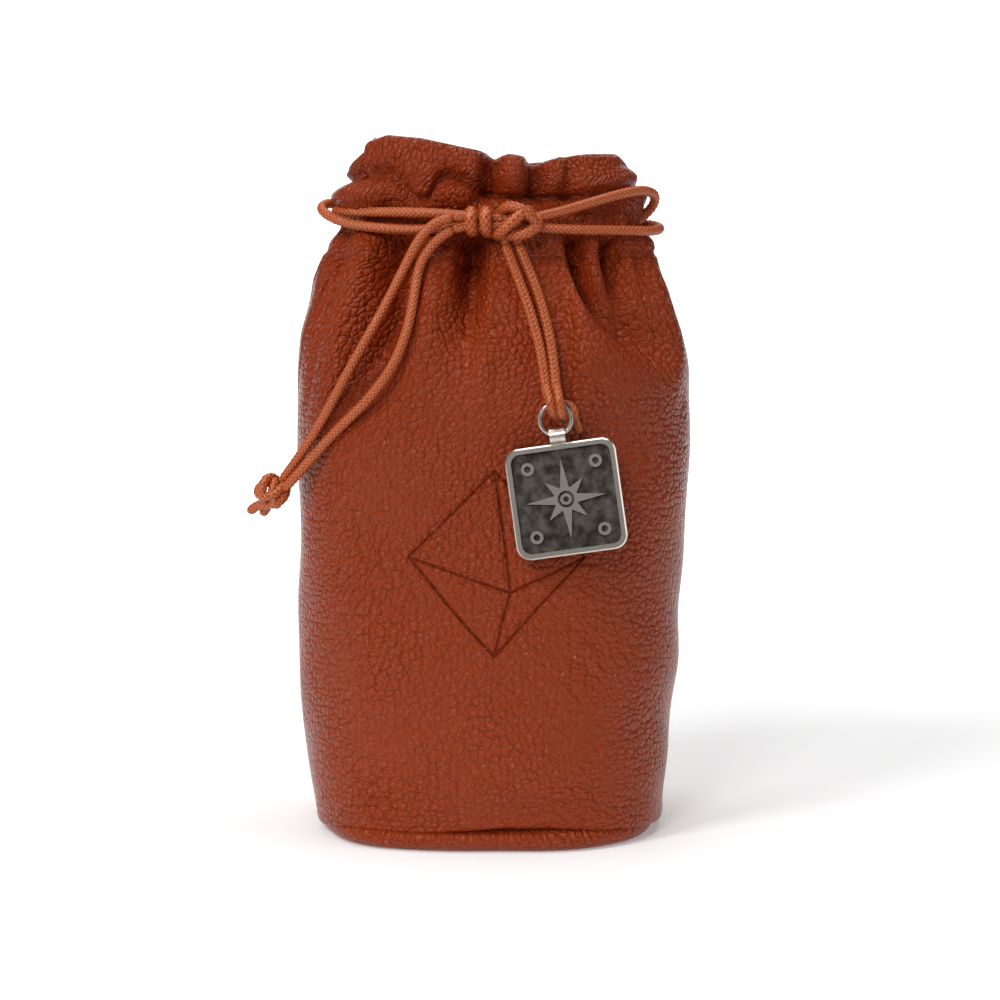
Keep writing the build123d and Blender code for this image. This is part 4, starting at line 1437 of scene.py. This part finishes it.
def makeAntiqueSilver(name, withRecess, look=metalLook):
    # bright where it is raised and rubbed, dark in the recess
    material, nodes, links, shader = newMaterial(name)
    place = addNode(nodes, "ShaderNodeTexCoord").outputs["Object"]
    blotch = addNode(nodes, "ShaderNodeTexNoise")
    blotch.inputs["Scale"].default_value = 420
    blotch.inputs["Detail"].default_value = 5
    links.new(place, blotch.inputs["Vector"])
    rubbed = remap(nodes, links, blotch.outputs["Fac"], 0.3, 0.75)
    if withRecess:
        depth = addNode(nodes, "ShaderNodeVectorMath", operation="DOT_PRODUCT")
        links.new(place, depth.inputs[0])
        depth.inputs[1].default_value = look["outward"]
        start = float(np.dot(look["outward"], look["centre"]))
        dark, bright = ((start + look[key]) * mm for key in ("floor", "face"))
        raised = remap(nodes, links, depth.outputs["Value"], dark, bright)
        worn = calculate(nodes, links, "MULTIPLY_ADD", rubbed, 0.34, raised, clamp=True)
        shade = remap(nodes, links, raised, 0.0, 0.35, 0.42, 1.0)
        worn = calculate(nodes, links, "MULTIPLY", worn, shade)
    else:
        worn = remap(nodes, links, rubbed, 0.0, 1.0, 0.8, 1.0)
    links.new(mixColours(nodes, links, worn, look["recess"], look["raised"]), shader.inputs["Base Color"])
    links.new(remap(nodes, links, worn, 0.0, 1.0, *look["roughness"]), shader.inputs["Roughness"])
    shader.inputs["Metallic"].default_value = 1.0
    bump = addNode(nodes, "ShaderNodeBump")
    bump.inputs["Strength"].default_value = 0.5
    bump.inputs["Distance"].default_value = 0.06 * mm
    links.new(blotch.outputs["Fac"], bump.inputs["Height"])
    links.new(bump.outputs["Normal"], shader.inputs["Normal"])
    return material


frontLeather = makeLeather("chestnutLeatherFront", True)
leather = makeLeather("chestnutLeather", False)
satinCord = makeSatinCord("satinCord")
silver = makeAntiqueSilver("antiqueSilver", True)
brightSilver = makeAntiqueSilver("brightSilver", False)
threadMaterial = simpleMaterial("waxedThread", (0.24, 0.036, 0.011), 0.5)
finishWith(frontPanel, frontLeather)
finishWith(backPanel, leather)
finishWith(basePanel, leather)
for piece in (*cordPieces.values(), centreKnot, stopperKnot, charmTurns):
    finishWith(piece, satinCord)
finishWith(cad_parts["charm_plate"], silver)
for node in ("jump_ring", "charm_bail"):
    finishWith(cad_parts[node], brightSilver)
for piece in stitchPieces:
    finishWith(piece, threadMaterial)

# floor, backdrop and lights

studio = {
    "floorSize": 4.0,
    "backdropStart": 1.6,
    "backdropHeight": 2.4,
    "backdropBend": 0.8,
    "floorGlow": 0.24,
    "beyondGlow": 0.8,
    "around": 0.11,
    "pale": (0.88, 0.88, 0.88),
    "dim": (0.42, 0.42, 0.42),  # the floor out of sight, so that less light comes back from it
}


def makeBackdrop():
    # a pale floor that curves up behind the bag
    wide, start, tall = studio["floorSize"], studio["backdropStart"], studio["backdropHeight"]
    outline = [(-3.0, 0.0), (0.0, 0.0), (start, 0.0)]
    radius = studio["backdropBend"]
    for k in range(1, 13):
        turn = math.pi / 2 * k / 12
        outline.append((start + radius * math.sin(turn), radius * (1 - math.cos(turn))))
    outline.append((start + radius, tall))
    vertices = [(side * wide, y, z) for y, z in outline for side in (-1, 1)]
    faces = [(2 * k, 2 * k + 1, 2 * k + 3, 2 * k + 2) for k in range(len(outline) - 1)]
    piece = meshPiece("backdrop", vertices, faces)
    floor = simpleMaterial("paleFloor", studio["pale"], 0.9)
    shader = floor.node_tree.nodes["Principled BSDF"]
    shader.inputs["Emission Color"].default_value = (1, 1, 1, 1)
    nodes, links = floor.node_tree.nodes, floor.node_tree.links
    parts = addNode(nodes, "ShaderNodeSeparateXYZ")
    links.new(addNode(nodes, "ShaderNodeTexCoord").outputs["Object"], parts.inputs[0])
    behind = remap(nodes, links, parts.outputs["Y"], -0.21, -0.13)
    apart = calculate(nodes, links, "ABSOLUTE", parts.outputs["X"])
    between = remap(nodes, links, apart, 0.62, 0.85, 1.0, 0.0)
    seen = calculate(nodes, links, "MULTIPLY", behind, between)
    strength = remap(nodes, links, parts.outputs["Y"], 0.05, 0.9, studio["floorGlow"], 1.05)
    glow = calculate(nodes, links, "MULTIPLY", seen, strength)
    # beyond, the floor only looks pale and throws no light
    toCamera = addNode(nodes, "ShaderNodeLightPath").outputs["Is Camera Ray"]
    beyond = calculate(nodes, links, "MULTIPLY", calculate(nodes, links, "SUBTRACT", 1.0, seen), toCamera)
    glow = calculate(nodes, links, "MULTIPLY_ADD", beyond, studio["beyondGlow"], glow)
    colour = mixColours(nodes, links, seen, studio["dim"], studio["pale"])
    links.new(colour, shader.inputs["Base Color"])
    links.new(glow, shader.inputs["Emission Strength"])
    shader.inputs["Specular IOR Level"].default_value = 0.1
    finishWith(piece, floor)


def addLamp(name, place, target, size, power):
    data = bpy.data.lights.new(name, "AREA")
    data.shape = "RECTANGLE"
    data.size, data.size_y = size
    data.energy = power
    lamp = bpy.data.objects.new(name, data)
    bpy.context.collection.objects.link(lamp)
    lamp.location = place
    aim = np.array(target) - np.array(place)
    lamp.rotation_euler = Vector(aim).to_track_quat("-Z", "Y").to_euler()


def lightStudio():
    world = bpy.data.worlds.new("studio")
    bpy.context.scene.world = world
    world.use_nodes = True
    world.node_tree.nodes["Background"].inputs["Color"].default_value = (1, 1, 1, 1)
    nodes, links = world.node_tree.nodes, world.node_tree.links
    toCamera = addNode(nodes, "ShaderNodeLightPath").outputs["Is Camera Ray"]
    strength = calculate(nodes, links, "MULTIPLY_ADD", toCamera, 1 - studio["around"], studio["around"])
    links.new(strength, nodes["Background"].inputs["Strength"])
    addLamp("keyLight", (-0.66, -0.66, 1.00), (0, 0, 0.09), (0.30, 0.30), 6.5)
    addLamp("frontLight", (-0.30, -1.02, 0.66), (0, 0, 0.09), (0.30, 0.24), 3.9)
    addLamp("topLight", (0.0, 0.15, 1.5), (0, 0, 0), (1.2, 0.8), 10.5)
    addLamp("sideLight", (1.0, -0.25, 0.35), (0, 0, 0.08), (0.3, 0.9), 1.5)
    addLamp("leftLight", (-1.0, -0.3, 0.3), (0, 0, 0.08), (0.3, 0.9), 0.9)
    bpy.context.scene.view_settings.view_transform = "Standard"


makeBackdrop()
lightStudio()
print("studio lit")
